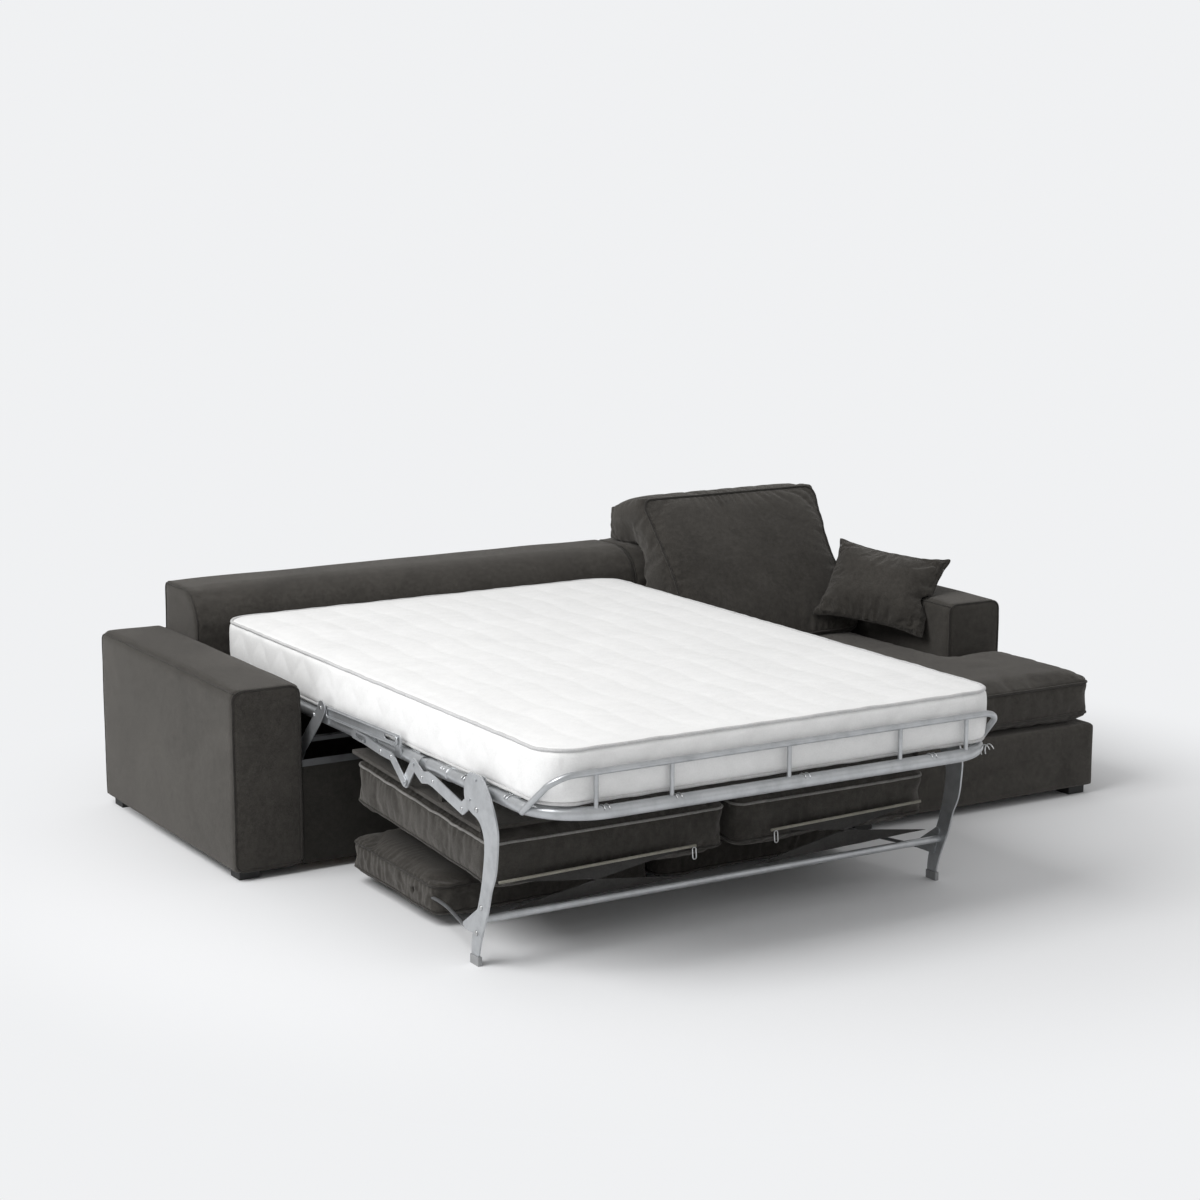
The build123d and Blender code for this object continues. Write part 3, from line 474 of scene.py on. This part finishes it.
def finish_named(name, roughness, metallic=0.0, **sockets):
    """A material, its tree and its Principled shader with plain values on the shader's own sockets."""
    material = bpy.data.materials.new(name)
    material.use_nodes = True
    tree = material.node_tree
    shader = tree.nodes["Principled BSDF"]
    shader.inputs["Roughness"].default_value = roughness
    shader.inputs["Metallic"].default_value = metallic
    for label, value in sockets.items():
        shader.inputs[label.replace("_", " ")].default_value = value
    return material, tree, shader


def put_in(tree, which, **values):
    """One of the shared effects, placed in a material with its own values."""
    made = node_in(tree, "ShaderNodeGroup", node_tree=effects[which])
    for label, value in values.items():
        made.inputs[label].default_value = value
    return made.outputs


def colours(tree, mask, dark, light):
    """A colour between two by a mask."""
    mix = node_in(tree, "ShaderNodeMix", {"Factor": mask}, data_type="RGBA")
    mix.inputs["A"].default_value, mix.inputs["B"].default_value = (*dark, 1), (*light, 1)
    return mix.outputs["Result"]


def darkened(tree, colour, mask):
    """A colour times a mask."""
    shade = node_in(tree, "ShaderNodeCombineColor", {"Red": mask, "Green": mask, "Blue": mask}).outputs["Color"]
    mix = node_in(tree, "ShaderNodeMix", {"Factor": 1.0}, data_type="RGBA", blend_type="MULTIPLY")
    tree.links.new(colour, mix.inputs["A"])
    tree.links.new(shade, mix.inputs["B"])
    return mix.outputs["Result"]


def bumped(tree, shader, height, strength, distance):
    """A Bump node from a height to the shader's normal."""
    bump = node_in(tree, "ShaderNodeBump", {"Height": height, "Strength": strength, "Distance": distance})
    tree.links.new(bump.outputs["Normal"], shader.inputs["Normal"])


def brushed_cloth(name, dark, light, threads=190.0, cloud=3.0, sheen=0.35):
    """A brushed woven cover: nap clouds between two tones, threads that darken them, and a soft sheen."""
    material, tree, shader = finish_named(name, 0.92, Sheen_Weight=sheen, Sheen_Roughness=0.45,
                                          Sheen_Tint=(0.62, 0.60, 0.57, 1), Specular_IOR_Level=0.12)
    nap, weave = put_in(tree, "nap", Cloud=cloud), put_in(tree, "weave", Threads=threads)
    colour = darkened(tree, colours(tree, nap["Shade"], dark, light), weave["Thread"])
    tree.links.new(colour, shader.inputs["Base Color"])
    bumped(tree, shader, sums(tree, "MULTIPLY_ADD", nap["Shade"], 0.35, weave["Height"]), 0.55, 0.0009)
    return material


def plain_cloth(name, dark, light, threads, sheen, strength=0.35):
    """A smooth woven or knitted cloth with faint tone changes."""
    material, tree, shader = finish_named(name, 0.85, Sheen_Weight=sheen, Specular_IOR_Level=0.2)
    nap, weave = put_in(tree, "nap", Cloud=5.0, Mottle=34.0), put_in(tree, "weave", Threads=threads, Bend=0.3)
    tree.links.new(colours(tree, nap["Shade"], dark, light), shader.inputs["Base Color"])
    bumped(tree, shader, weave["Height"], strength, 0.0006)
    return material


def coated_metal(name, colour, dusty, roughness, metallic, peel=900.0, strength=0.12):
    """Painted or plated steel: dusty patches are a little darker and rougher, over a fine peel."""
    material, tree, shader = finish_named(name, roughness, metallic)
    coat = put_in(tree, "coat", Peel=peel)
    tree.links.new(colours(tree, coat["Dust"], colour, dusty), shader.inputs["Base Color"])
    tree.links.new(sums(tree, "MULTIPLY_ADD", coat["Dust"], 0.14, roughness), shader.inputs["Roughness"])
    bumped(tree, shader, coat["Height"], strength, 0.0004)
    return material


def hardboard():
    """Pressed board: long dark fibres in a brown ground."""
    material, tree, shader = finish_named("pressed_board", 0.8)
    spot = node_in(tree, "ShaderNodeTexCoord").outputs["Object"]
    drawn = node_in(tree, "ShaderNodeMapping", {"Vector": spot, "Scale": (9.0, 90.0, 90.0)}).outputs["Vector"]
    fibre = node_in(tree, "ShaderNodeTexNoise", {"Vector": drawn, "Scale": 3.0, "Detail": 7.0, "Roughness": 0.7}).outputs["Fac"]
    tree.links.new(colours(tree, fibre, (0.10, 0.075, 0.05), (0.27, 0.20, 0.13)), shader.inputs["Base Color"])
    bumped(tree, shader, fibre, 0.3, 0.001)
    return material


cover = brushed_cloth("brushed_taupe_cover", (0.033, 0.030, 0.0265), (0.088, 0.0815, 0.073))
# A darker copy of the cover cloth: painted shade for the front panel.
shaded_cover = brushed_cloth("brushed_taupe_painted_shade", (0.016, 0.015, 0.013), (0.044, 0.041, 0.036), cloud=5.0)
cover_cord = brushed_cloth("taupe_piping", (0.026, 0.024, 0.022), (0.056, 0.052, 0.047), threads=320.0, cloud=14.0)
# A much lighter copy of the piping cloth: painted highlight for the seat cushions' lit cords.
lit_cord = brushed_cloth("piping_painted_highlight", (0.20, 0.195, 0.185), (0.36, 0.35, 0.335), threads=320.0, cloud=14.0)
lining = plain_cloth("dark_lining", (0.026, 0.025, 0.024), (0.052, 0.050, 0.048), 130.0, 0.15, 0.6)
ticking = plain_cloth("white_ticking", (0.80, 0.80, 0.795), (0.90, 0.90, 0.895), 150.0, 0.12)
ticking_trim = plain_cloth("grey_tape", (0.50, 0.50, 0.50), (0.66, 0.66, 0.66), 420.0, 0.1)
zip_tape = plain_cloth("beige_zip_tape", (0.24, 0.23, 0.19), (0.42, 0.40, 0.34), 520.0, 0.1, 0.8)
frame_paint = coated_metal("silver_grey_paint", (0.50, 0.515, 0.53), (0.40, 0.412, 0.425), 0.30, 0.72)
zinc = coated_metal("zinc_plate", (0.62, 0.63, 0.64), (0.42, 0.42, 0.41), 0.26, 1.0, 300.0)
dark_steel = coated_metal("dark_grey_steel", (0.14, 0.145, 0.15), (0.10, 0.10, 0.105), 0.42, 0.4)
foot_plastic = coated_metal("matt_black_plastic", (0.012, 0.012, 0.012), (0.022, 0.022, 0.022), 0.55, 0.0, 500.0, 0.3)
grey_plastic = coated_metal("grey_plastic", (0.30, 0.305, 0.31), (0.22, 0.225, 0.23), 0.5, 0.0, 500.0, 0.2)
board = hardboard()

slot_finish = {"cover_fabric": cover, "lining": lining, "ticking": ticking, "ticking_trim": ticking_trim,
               "frame_paint": frame_paint, "zinc": zinc, "dark_steel": dark_steel, "board": board,
               "foot_plastic": foot_plastic}
slot_of = {row["node"]: row["material_slot"] for row in frame["record"]["subparts"]}
for name, made in nodes.items():
    made.data.materials.clear()
    made.data.materials.append(slot_finish[slot_of[name]])
# The front panel takes the darker copy of the cover cloth as painted shade; the box side panel takes the lining.
for name in ("front_panel", "box_side_panel"):
    nodes[name].data.materials[0] = shaded_cover if name == "front_panel" else lining


# ---------------------------------------------------------------- soft goods

def seat_frame_point(across, forward_share, down):
    """A place on a seat cushion below the bed: along its sloping top line, then down through its thickness."""
    rear, front = np.array(seat_rear, float), np.array(seat_front, float)
    along = (front - rear) / np.linalg.norm(front - rear)
    spot = rear + (front - rear) * np.asarray(forward_share)[..., None] + np.asarray(down)[..., None] * np.array([along[1], -along[0]])
    return np.stack([np.broadcast_to(across, spot.shape[:-1]), spot[..., 0], spot[..., 1]], -1)


def flat_loop(left, right, rear, front, corner):
    """A closed outline in a level plane with rounded corners, as across and forward."""
    return evenly(rounded([(left, rear), (right, rear), (right, front), (left, front)], corner * 1.25), 9)


def welt(name, path, radius, facing, material, body, closed=True, replaced=(), on=None):
    """A corded seam along a path of places: a thin tube that swells and slims a little, laid on its cover."""
    path = place(evenly(np.asarray(path, float), 5, closed))
    if on:
        path = laid_on(on, path, radius * 0.35)
    swelling = 1 + 0.07 * ripple(path, 0.05, len(path))
    return make(name, ring_tube(path, radius / 1000 * swelling, facing, 10, closed), material, body, replaced)


def boxed_seams(left, right, rear, front, top_rear, top_front, thickness, corner):
    """The two cord loops of a boxed cushion whose top line slopes, near its upper and its lower face."""
    loops = []
    for share in (0.19, 0.81):
        loop = flat_loop(left, right, 0, 1000, corner)
        along = np.array([front - rear, top_front - top_rear], float)
        length = np.linalg.norm(along)
        loop[:, 1] = np.clip(loop[:, 1], 0, 1000)
        forward = rear + (front - rear) * loop[:, 1] / 1000 + along[1] / length * thickness * share
        up = top_rear + (top_front - top_rear) * loop[:, 1] / 1000 - along[0] / length * thickness * share
        loops.append(np.stack([loop[:, 0], forward, up], -1))
    return loops


def upholstered(node, voxel, drawn_in, swelling, seed, wave=1.0, material=cover, name=None):
    """A covered block: the node's skin, rounded out and slightly uneven."""
    made = skin_of(name or node + "_cover", node, voxel, drawn_in, material)
    bulge(made, swelling)
    waver(made, wave, 260, seed)
    return stand_for(made, "sofa", node)


def arm_outline(left, bottom, forward, out=0.0):
    """The front outline of an arm with rounded upper corners, as places."""
    right = left + arm_width
    shape = rounded([(left - out, bottom), (left - out, arm_top + out), (right + out, arm_top + out), (right + out, bottom)], 30)
    return np.stack([shape[:, 0], np.full(len(shape), forward), shape[:, 1]], -1)


# Arms: a soft block, a cord round the front panel and one along each upper edge
for side, left, bottom in (("left", 0, 27), ("right", arm_right, 233)):
    made = upholstered(side + "_arm", 8, 2.5, 6, 3 + left, 1.2)
    welt(side + "_arm_front_welt", arm_outline(left, bottom, sofa_depth), 3.6, (0, -1, 0), cover_cord, "sofa",
         replaced=(side + "_arm_piping",), on=made)
    for edge, across in (("outer", left), ("inner", left + arm_width)):
        line = [(across, 0, bottom), (across, 0, arm_top), (across, sofa_depth, arm_top)]
        welt(f"{side}_arm_{edge}_welt", rounded(line, 26, False), 2.6, (1, 0, 0), cover_cord, "sofa", closed=False, on=made)

# Low backs: bulging fronts with end panels that a cord outlines
back_profile = [(6, 27), (6, 688), (150, 692), (200, 684), (235, 652), (258, 612), (263, 582), (263, 400), (263, 27)]


def back_cord(across):
    """The cord round a low back's end panel."""
    line = evenly(np.array(back_profile, float), 8)
    return np.stack([np.full(len(line), across), line[:, 0], line[:, 1]], -1)


for node, ends, seed in (("low_back", (216, 1799), 21), ("chaise_low_back", (1801,), 22)):
    made = upholstered(node, 9, 2.5, 5, seed, 1.6)
    points = corners_of(made.data)
    reach = np.min([np.abs(points[:, 0] * 1000 + half_width - end) for end in ends], axis=0)
    pucker = np.exp(-reach / 55) * np.sin(points[:, 2] * 150 + 4 * ripple(points, 0.2, seed)) * smooth_step((reach - 4) / 20)
    move_to(made.data, points + normals_of(made.data) * (0.0022 * pucker)[:, None])
    for number, end in enumerate(ends):
        welt(f"{node}_end_welt_{number + 1}", back_cord(end), 3.0, (1, 0, 0), cover_cord, "sofa", on=made)

# Chaise base
upholstered("chaise_base", 10, 2.5, 3, 31, 1.0)

# Chaise seat cushion: an L with two cords
l_shape = [(1810, 277.5), (2528.5, 277.5), (2528.5, 1031.5), (2740, 1031.5), (2740, 1500), (1810, 1500)]


def l_loop(up):
    """The cushion's L outline at a height."""
    line = evenly(rounded(np.array(l_shape), 32), 9)
    return np.stack([line[:, 0], line[:, 1], np.full(len(line), up)], -1)


def padded_cover(node, body, voxel, seams, pressure, slack, most, drawn_in, puckers, seed, material=cover, shape=None):
    """A stuffed cover: the node's skin, given its shape, blown up as cloth between its seams and gathered."""
    made = skin_of(node + "_cover", node, voxel, drawn_in, material)
    if shape:
        move_to(made.data, place(shape(places_of(corners_of(made.data)))))
    in_metres = [place(seam) for seam in seams]
    swell(made, in_metres, pressure, slack, most)
    refine(made)
    gather(made, in_metres, *puckers, seed)
    waver(made, 1.4, 170, seed + 5)
    return stand_for(made, body, node)


chaise_seams = [l_loop(263.4), l_loop(362.6)]
made = padded_cover("chaise_seat_cushion", "sofa", 11, chaise_seams, 3.5, 0.02, 12, 5, (0.9, 26, 26), 41)
for number, loop in enumerate(chaise_seams):
    welt(f"chaise_seat_welt_{number + 1}", loop, 4.0, (0, 0, 1), cover_cord, "sofa",
         replaced=("chaise_seat_piping",) if number else (), on=made)


def steeper(points):
    """Places of the back cushion with its right side drawn in towards the foot."""
    drawn = 44 * np.clip((points[:, 0] - 2150) / 384, 0, 1) * smooth_step((878 - points[:, 2]) / 230)
    return points - drawn[:, None] * (1, 0, 0)


# Chaise back cushion: a sloping front panel inside a cord, and boxed sides
front_face = [(1819, 603, 412), (1819, 452, 648), (1819, 262, 862), (2530, 262, 862), (2530, 452, 648), (2530, 603, 412)]
rear_face = [(1819, 276, 396), (1819, 262, 640), (1819, 58, 708), (1819, 56, 812),
             (2530, 56, 812), (2530, 58, 708), (2530, 262, 640), (2530, 276, 396)]
front_loop = steeper(evenly(rounded(np.array(front_face, float), 38), 9))
rear_loop = steeper(evenly(rounded(np.array(rear_face, float), 30), 9))
made = padded_cover("chaise_back_cushion", "sofa", 9, [front_loop, rear_loop], 5, 0.035, 22, 10, (1.5, 30, 34), 51,
                    shape=steeper)
welt("chaise_back_front_welt", front_loop, 4.0, (0, -0.83, 0.56), cover_cord, "sofa", on=made)

# Throw cushion: knife edges, slack cloth, pointed corners
throw_place = np.array([2475.0, 735.0, 573.0])
throw_run, throw_rise = unit(np.array([0.484, 0.869, -0.104])), unit(np.array([0.627, -0.036, 0.779]))
throw_rise = unit(throw_rise - (throw_rise @ throw_run) * throw_run)
throw_half = (200, 142)


def pulled(points):
    """Places of the throw cushion with its corners drawn out and its sides drawn in between them."""
    run, rise = (points - throw_place) @ throw_run / throw_half[0], (points - throw_place) @ throw_rise / throw_half[1]
    out = 15 * np.clip(np.abs(run * rise), 0, 1.1) ** 4
    along = np.sign(run) * out - 10 * run * (1 - np.clip(rise ** 2, 0, 1))
    upward = np.sign(rise) * out - 8 * rise * (1 - np.clip(run ** 2, 0, 1))
    return points + along[:, None] * throw_run + upward[:, None] * throw_rise


throw_corners = [throw_place + x * throw_half[0] * throw_run + y * throw_half[1] * throw_rise
                 for x, y in ((-1, -1), (1, -1), (1, 1), (-1, 1))]
throw_loop = pulled(evenly(rounded(np.array(throw_corners), 8), 6))
throw_facing = np.cross(place(throw_corners[1]) - place(throw_corners[0]), place(throw_corners[3]) - place(throw_corners[0]))
made = padded_cover("throw_cushion", "sofa", 4.5, [throw_loop], 4, 0.05, 14, 6, (2.6, 34, 46), 61, shape=pulled)
welt("throw_edge_seam", throw_loop, 1.8, unit(throw_facing), cover_cord, "sofa", on=made)

# Seat cushions, upside down below the bed, with their corded edges
seat_sides = {"left": (280, 1018), "right": (1036, 1690)}
for number, (side, (left, right)) in enumerate(seat_sides.items()):
    loops = boxed_seams(left, right, seat_rear[0], seat_front[0], seat_rear[1], seat_front[1], seat_thickness, seat_corner)
    made = padded_cover(f"seat_cushion_{side}", "foot_section", 9, loops, 4, 0.03, 12, 7, (1.3, 22, 30), 71 + number)
    for row, loop in enumerate(loops):
        # The first cord of each seat cushion takes the lighter piping, a painted highlight.
        welt(f"seat_{side}_welt_{row + 1}", loop, 3.6, (0, 0, 1), lit_cord if row == 0 else cover_cord, "foot_section",
             replaced=() if row else (f"seat_piping_{side}",), on=made)

# Back cushions stored on the carrier
for number, (side, (left, right)) in enumerate({"left": (285, 974), "right": (986, 1675)}.items()):
    loops = boxed_seams(left, right, 1165, 1695, 148, 136, 122, pad_corner)
    made = padded_cover(f"back_pad_{side}", "leg_frame", 9, loops, 4, 0.05, 12, 7, (2.2, 24, 60), 81 + number)
    for row, loop in enumerate(loops):
        welt(f"back_pad_{side}_welt_{row + 1}", loop, 3.0, (0, 0, 1), cover_cord, "leg_frame", on=made)


# ---------------------------------------------------------------- mattress

plan_middle, plan_half, plan_round = np.array([980.0, 1305.0]), np.array([700.0, 1005.0]), 90
bed_low, bed_high, edge_round = 474.5, 617.0, 20
bed_parts = (("head", 300, 1045, "head_section", "middle_section", 690),
             ("middle", 1045, 1540, "middle_section", "knuckle_section", 1400),
             ("foot", 1540, 2310, "knuckle_section", "foot_section", 1680))


def box_skin(lines):
    """The skin of a box: a grid on each side between the places along the three axes."""
    forms = []
    for axis in range(3):
        one, two = (axis + 1) % 3, (axis + 2) % 3
        for end in (lines[axis][0], lines[axis][-1]):
            first, second = np.meshgrid(lines[one], lines[two], indexing="ij")
            spots = np.empty((*first.shape, 3))
            spots[..., axis], spots[..., one], spots[..., two] = end, first, second
            forms.append((spots, cells(*first.shape).tolist()))
    return joined(*forms)


def mattress_places(points):
    """Places of a square block moved onto the mattress. In each corner of the plan, and then along each edge,
    squares round the corner's centre become circles. The sides swell between the edges and are quilted in
    diamonds, the product of two slanting sine waves. The faces have slow wavy stitch lines."""
    middle, half = (bed_low + bed_high) / 2, (bed_high - bed_low) / 2
    offset, lift = points[:, :2] - plan_middle, points[:, 2] - middle
    over = np.abs(offset) - (plan_half - plan_round)
    corner = (over > 0).all(1)
    longest = over.max(1)
    over[corner] *= (longest / np.linalg.norm(over, axis=1))[corner, None]
    sideways = np.stack([over[:, 0] >= over[:, 1], over[:, 0] < over[:, 1]], -1).astype(float)
    sideways[corner] = unit(over[corner])
    inset = plan_round - longest
    reach, rise = edge_round - inset, np.abs(lift) - (half - edge_round)
    bent = (reach > 0) & (rise > 0)
    shrunk = np.where(bent, np.maximum(reach, rise) / np.maximum(np.hypot(reach, rise), 1e-9), 1)
    side, face = inset < 0.5, np.abs(lift) > half - 0.5
    run = np.where(sideways[:, 0] > 0.5, points[:, 1], points[:, 0])
    diamond = np.sqrt(np.abs(np.sin((run + points[:, 2]) * pi / 150) * np.sin((run - points[:, 2]) * pi / 150)))
    grown = side * (5 * (1 - (lift / half) ** 2) + 3.2 * (diamond - 0.7) * smooth_step(2.5 - 2.5 * np.abs(lift) / half))
    stitched = np.abs(np.sin((points[:, 0] + 9 * np.sin(points[:, 1] / 55)) * pi / 104)) ** 0.45
    crown = face * smooth_step((inset - 6) / 70) * (2.4 * stitched + 1.5)
    plan = over + plan_half - plan_round + sideways * (grown - (reach - reach * shrunk) * bent)[:, None]
    up = middle + np.sign(lift) * (np.abs(lift) - (rise - rise * shrunk) * bent + crown)
    return np.column_stack([plan_middle + np.sign(offset) * plan, up])


def plan_loop(inset, up):
    """The mattress's rounded outline in plan, drawn in by an inset, at a height."""
    turn = np.concatenate([np.linspace(quarter, quarter + pi / 2, 16) for quarter in np.arange(4) * pi / 2])
    signs = np.repeat([(1, 1), (-1, 1), (-1, -1), (1, -1)], 16, 0)
    ring = plan_middle + signs * (plan_half - plan_round) + (plan_round - inset) * np.stack([np.cos(turn), np.sin(turn)], -1)
    ring = evenly(ring, 6)
    return np.column_stack([ring, np.full(len(ring), up)])


def stretches(loop, low, high):
    """The stretches of a closed loop that lie between two places forward."""
    inside = (loop[:, 1] > low - 6) & (loop[:, 1] < high + 6)
    start = np.flatnonzero(~inside)[0]
    loop, inside = np.roll(loop, -start, 0), np.roll(inside, -start)
    return np.split(loop, np.flatnonzero(np.diff(inside.astype(int))) + 1)[1::2]


for part, low, high, rear_body, front_body, hinge in bed_parts:
    lines = (np.linspace(280, 1680, 176), np.linspace(low, high, round((high - low) / 8) + 1), np.linspace(bed_low, bed_high, 19))
    points, faces = box_skin(lines)
    tapes = []
    for up in (bed_low + 4, bed_high - 4):
        for run in stretches(plan_loop(3.5, up), low, high):
            run = place(run)
            run[:, 2] += 0.0012 * ripple(run, 0.09, 5)
            tapes.append(ring_tube(run, 0.0046 * (1 + 0.08 * ripple(run, 0.04, 6)), (0, 0, 1), 10, False))
    made = solid(f"mattress_{part}_part", joined((place(mattress_places(points)), faces), *tapes), (ticking, ticking_trim), len(faces))
    made.data.set_sharp_from_angle(angle=radians(50))
    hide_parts("mattress", "mattress_piping")
    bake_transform(made)


# ---------------------------------------------------------------- steelwork and small parts

# Guard rail: its ends rise aslant from the side tubes, and five posts stand on the front tube
rail_forward, rail_up = 2327.5, 557
rail_left, rail_right = both_ways([(264, 2206, 446), (291, rail_forward, rail_up)])
rail_line = rounded(np.vstack([rail_left, rail_right[::-1]]), 45, False)
posts = [wire([(across, rail_forward, tube_up), (across, rail_forward, rail_up)], 6, (0, 1, 0)) for across in (405, 625, 980, 1335, 1555)]
make("guard_rail_bent", joined(wire(rail_line, 8.5, sides=18, spacing=4), *posts), frame_paint, "foot_section",
     replaced=("guard_rail",))


def hook(middle, along, radius=19.2):
    """A wire bent over a tube: most of a circle in the plane across the tube's run."""
    turn = np.radians(np.linspace(-35, 150, 22))[:, None]
    out = np.array([0, 1, 0]) if along == 0 else np.array([-1, 0, 0])
    return wire(np.array(middle, float) - radius * (out * np.cos(turn) - np.array([0, 0, 1]) * np.sin(turn)), 1.7,
                np.eye(3)[along], 8, spacing=3)


hooks = [hook((side, forward + gap, tube_up), 1) for side in (tube_left, tube_right)
         for forward in (1784, 1898, 2011, 2123) for gap in (-7, 7)]
hooks += [hook((across + gap, rail_forward, tube_up), 0) for across in (430, 640, 1030, 1440, 1630) for gap in (-7, 7)]
make("net_hooks", joined(*hooks), zinc, "foot_section")

sleeves = [wire(path, 19.4, sides=24) for path in both_ways([(tube_left, 1694, tube_up), (tube_left, 1813, tube_up)])]
make("tube_sleeves", joined(*sleeves), frame_paint, "foot_section")


def rivets(name, spots, across, radius, body):
    """Domed rivet heads on the outer faces of a pair of plates."""
    profile = np.array([(0, -0.4), (radius, -0.4), (radius, 0.25 * radius), (0.7 * radius, 0.5 * radius), (0, 0.6 * radius)]) / 1000
    sides = both_ways([(across, forward, up) for forward, up in spots])
    heads = [turned(profile, place(side), (way, 0, 0), (0, 1, 0)) for side, way in zip(sides, (-1, 1))]
    make(name, joined(*heads), zinc, body)


rivets("leg_rivets", ((2012, 411), (2032, 159), (2006, 85)), 243, 7, "leg_frame")
rivets("swing_rivets", ((1044, 464), (1089, 493)), 244, 6, "swing_arms")
rivets("crank_rivets", ((1700, 425), (1763, 428), (1922, 392)), 249, 5, "crank_plates")
rivets("arm_rivets", ((1530, 446), (1467, 448)), 244, 5, "channel_arms")

beads = [ring_tube(place(evenly(rounded(path, 12), 6)), 0.0022, (1, 0, 0), 8) for path in both_ways(
    [(253.4, 1106, 468), (253.4, 1550, 476), (253.4, 1550, 502), (253.4, 1106, 494)])]
make("link_beads", joined(*beads), frame_paint, "slotted_links")

# Carrier for the stored cushions: rods and rails inside them, joined to the gussets
carrier = [wire(rounded(path, 40, False), 5) for path in both_ways([(252, 1930, 82), (300, 1725, 78), (300, 1230, 78)])]
carrier += [wire([(300, forward, 78), (1660, forward, 78)], 6, (0, 1, 0)) for forward in (1300, 1560)]
make("carrier_rods", joined(*carrier), dark_steel, "leg_frame", replaced=("pad_carrier",))


def flap(name, corners, node, seed, columns=70, rows=16, thickness=2.5):
    """A hanging cloth: a grid between four places that waves more towards its lower edge, with its back."""
    over, down = np.linspace(0, 1, columns)[None, :, None], np.linspace(0, 1, rows)[:, None, None]
    top_left, top_right, low_left, low_right = (np.array(corner, float) for corner in corners)
    grid = (top_left * (1 - over) + top_right * over) * (1 - down) + (low_left * (1 - over) + low_right * over) * down
    front = place(grid).reshape(-1, 3)
    front[:, 1] += 0.004 * ripple(front, 0.13, seed) * np.repeat(down.ravel(), columns)
    faces = cells(rows, columns)
    count = rows * columns
    number = np.arange(count).reshape(rows, columns)
    rim = np.concatenate([number[0], number[1:, -1], number[-1, -2::-1], number[-2:0:-1, 0]])
    border = np.stack([rim, np.roll(rim, -1), np.roll(rim, -1) + count, rim + count], -1)
    points = np.vstack([front, front + (0, thickness / 1000, 0)])
    make(name, (points, np.vstack([faces, faces + count, border]).tolist()), lining, "foot_section", replaced=(node,))


flap("zip_flap_left", [(306, 2014, 211), (899, 2014, 222), (868, 2004, 140), (284, 2004, 122)], "zip_panel_left", 91)
flap("zip_flap_right", [(1146, 2014, 229), (1650, 2014, 240), (1684, 2004, 150), (1096, 2004, 135)], "zip_panel_right", 92)
tapes = [wire([(left, 2016, left_up), (right, 2016, right_up)], 4.2, sides=8)
         for left, left_up, right, right_up in ((304, 211, 901, 222), (1144, 229, 1652, 240))]
make("zip_tapes", joined(*tapes), zip_tape, "foot_section")
pulls = [ring_tube(place(evenly(rounded([(across, 2022, up), (across + 11, 2022, up), (across + 11, 2025, up - 32),
                                         (across, 2025, up - 32)], 4), 3)), 0.0016, (0, 1, 0), 8)
         for across, up in ((886, 220), (1150, 227))]
make("zip_pulls", joined(*pulls), zinc, "foot_section")

nodes["foot_caps"].data.materials[0] = grey_plastic


# ---------------------------------------------------------------- stage

def stage():
    """A pale floor that fades into a pale surround, soft lamps and the photograph's camera."""
    scene = bpy.context.scene
    scene.view_settings.view_transform = "Standard"
    pale = (0.871, 0.879, 0.892)
    material, tree, shader = finish_named("pale_floor", 0.9, Specular_IOR_Level=0.1)
    spot = node_in(tree, "ShaderNodeTexCoord").outputs["Object"]
    reach = node_in(tree, "ShaderNodeVectorMath", {0: spot}, operation="LENGTH").outputs["Value"]
    edge = node_in(tree, "ShaderNodeMapRange", {"Value": reach, "From Min": 1.35, "From Max": 2.45},
                   interpolation_type="SMOOTHSTEP").outputs["Result"]
    shader.inputs["Base Color"].default_value = (0.82, 0.825, 0.835, 1)
    glow = node_in(tree, "ShaderNodeEmission", {"Color": (*pale, 1), "Strength": 1.0}).outputs[0]
    path = node_in(tree, "ShaderNodeLightPath").outputs
    seen = sums(tree, "MAXIMUM", path["Is Camera Ray"], sums(tree, "MAXIMUM", path["Is Glossy Ray"], path["Is Transmission Ray"]))
    mix = node_in(tree, "ShaderNodeMixShader", {0: sums(tree, "MULTIPLY", edge, seen), 1: shader.outputs[0], 2: glow})
    tree.links.new(mix.outputs[0], tree.nodes["Material Output"].inputs["Surface"])
    mesh = bpy.data.meshes.new("floor")
    mesh.from_pydata([(-60, -60, 0), (60, -60, 0), (60, 60, 0), (-60, 60, 0)], [], [(0, 1, 2, 3)])
    floor = object_of("floor", mesh, material)

    world = bpy.data.worlds.new("soft_surround")
    scene.world = world
    world.use_nodes = True
    tree = world.node_tree
    path = node_in(tree, "ShaderNodeLightPath").outputs
    seen = sums(tree, "MAXIMUM", path["Is Camera Ray"], path["Is Transmission Ray"])
    lamp = node_in(tree, "ShaderNodeBackground", {"Color": (1, 1, 1, 1), "Strength": 0.54}).outputs[0]
    wall = node_in(tree, "ShaderNodeBackground", {"Color": (*pale, 1), "Strength": 1.0}).outputs[0]
    mix = node_in(tree, "ShaderNodeMixShader", {0: seen, 1: lamp, 2: wall})
    tree.links.new(mix.outputs[0], tree.nodes["World Output"].inputs["Surface"])

    for name, spot, size, power in (("key_lamp", (-4.9, -0.5, 5.3), 4.2, 330), ("fill_lamp", (3.5, -5.5, 4.0), 4.0, 14)):
        data = bpy.data.lights.new(name, "AREA")
        data.size, data.energy = size, power
        lamp = bpy.data.objects.new(name, data)
        lamp.location = spot
        lamp.rotation_euler = (Vector((0, 0, 0.3)) - Vector(spot)).to_track_quat("-Z", "Y").to_euler()
        scene.collection.objects.link(lamp)

    lens = bpy.data.cameras.new("camera")
    lens.lens, lens.sensor_width, lens.clip_end = 77.9, 36, 200
    camera = bpy.data.objects.new("camera", lens)
    camera.location = (-4.130, -6.4265, 2.129)
    camera.rotation_euler = (radians(79.44), 0, radians(-31.03))
    scene.collection.objects.link(camera)
    scene.camera = camera


stage()
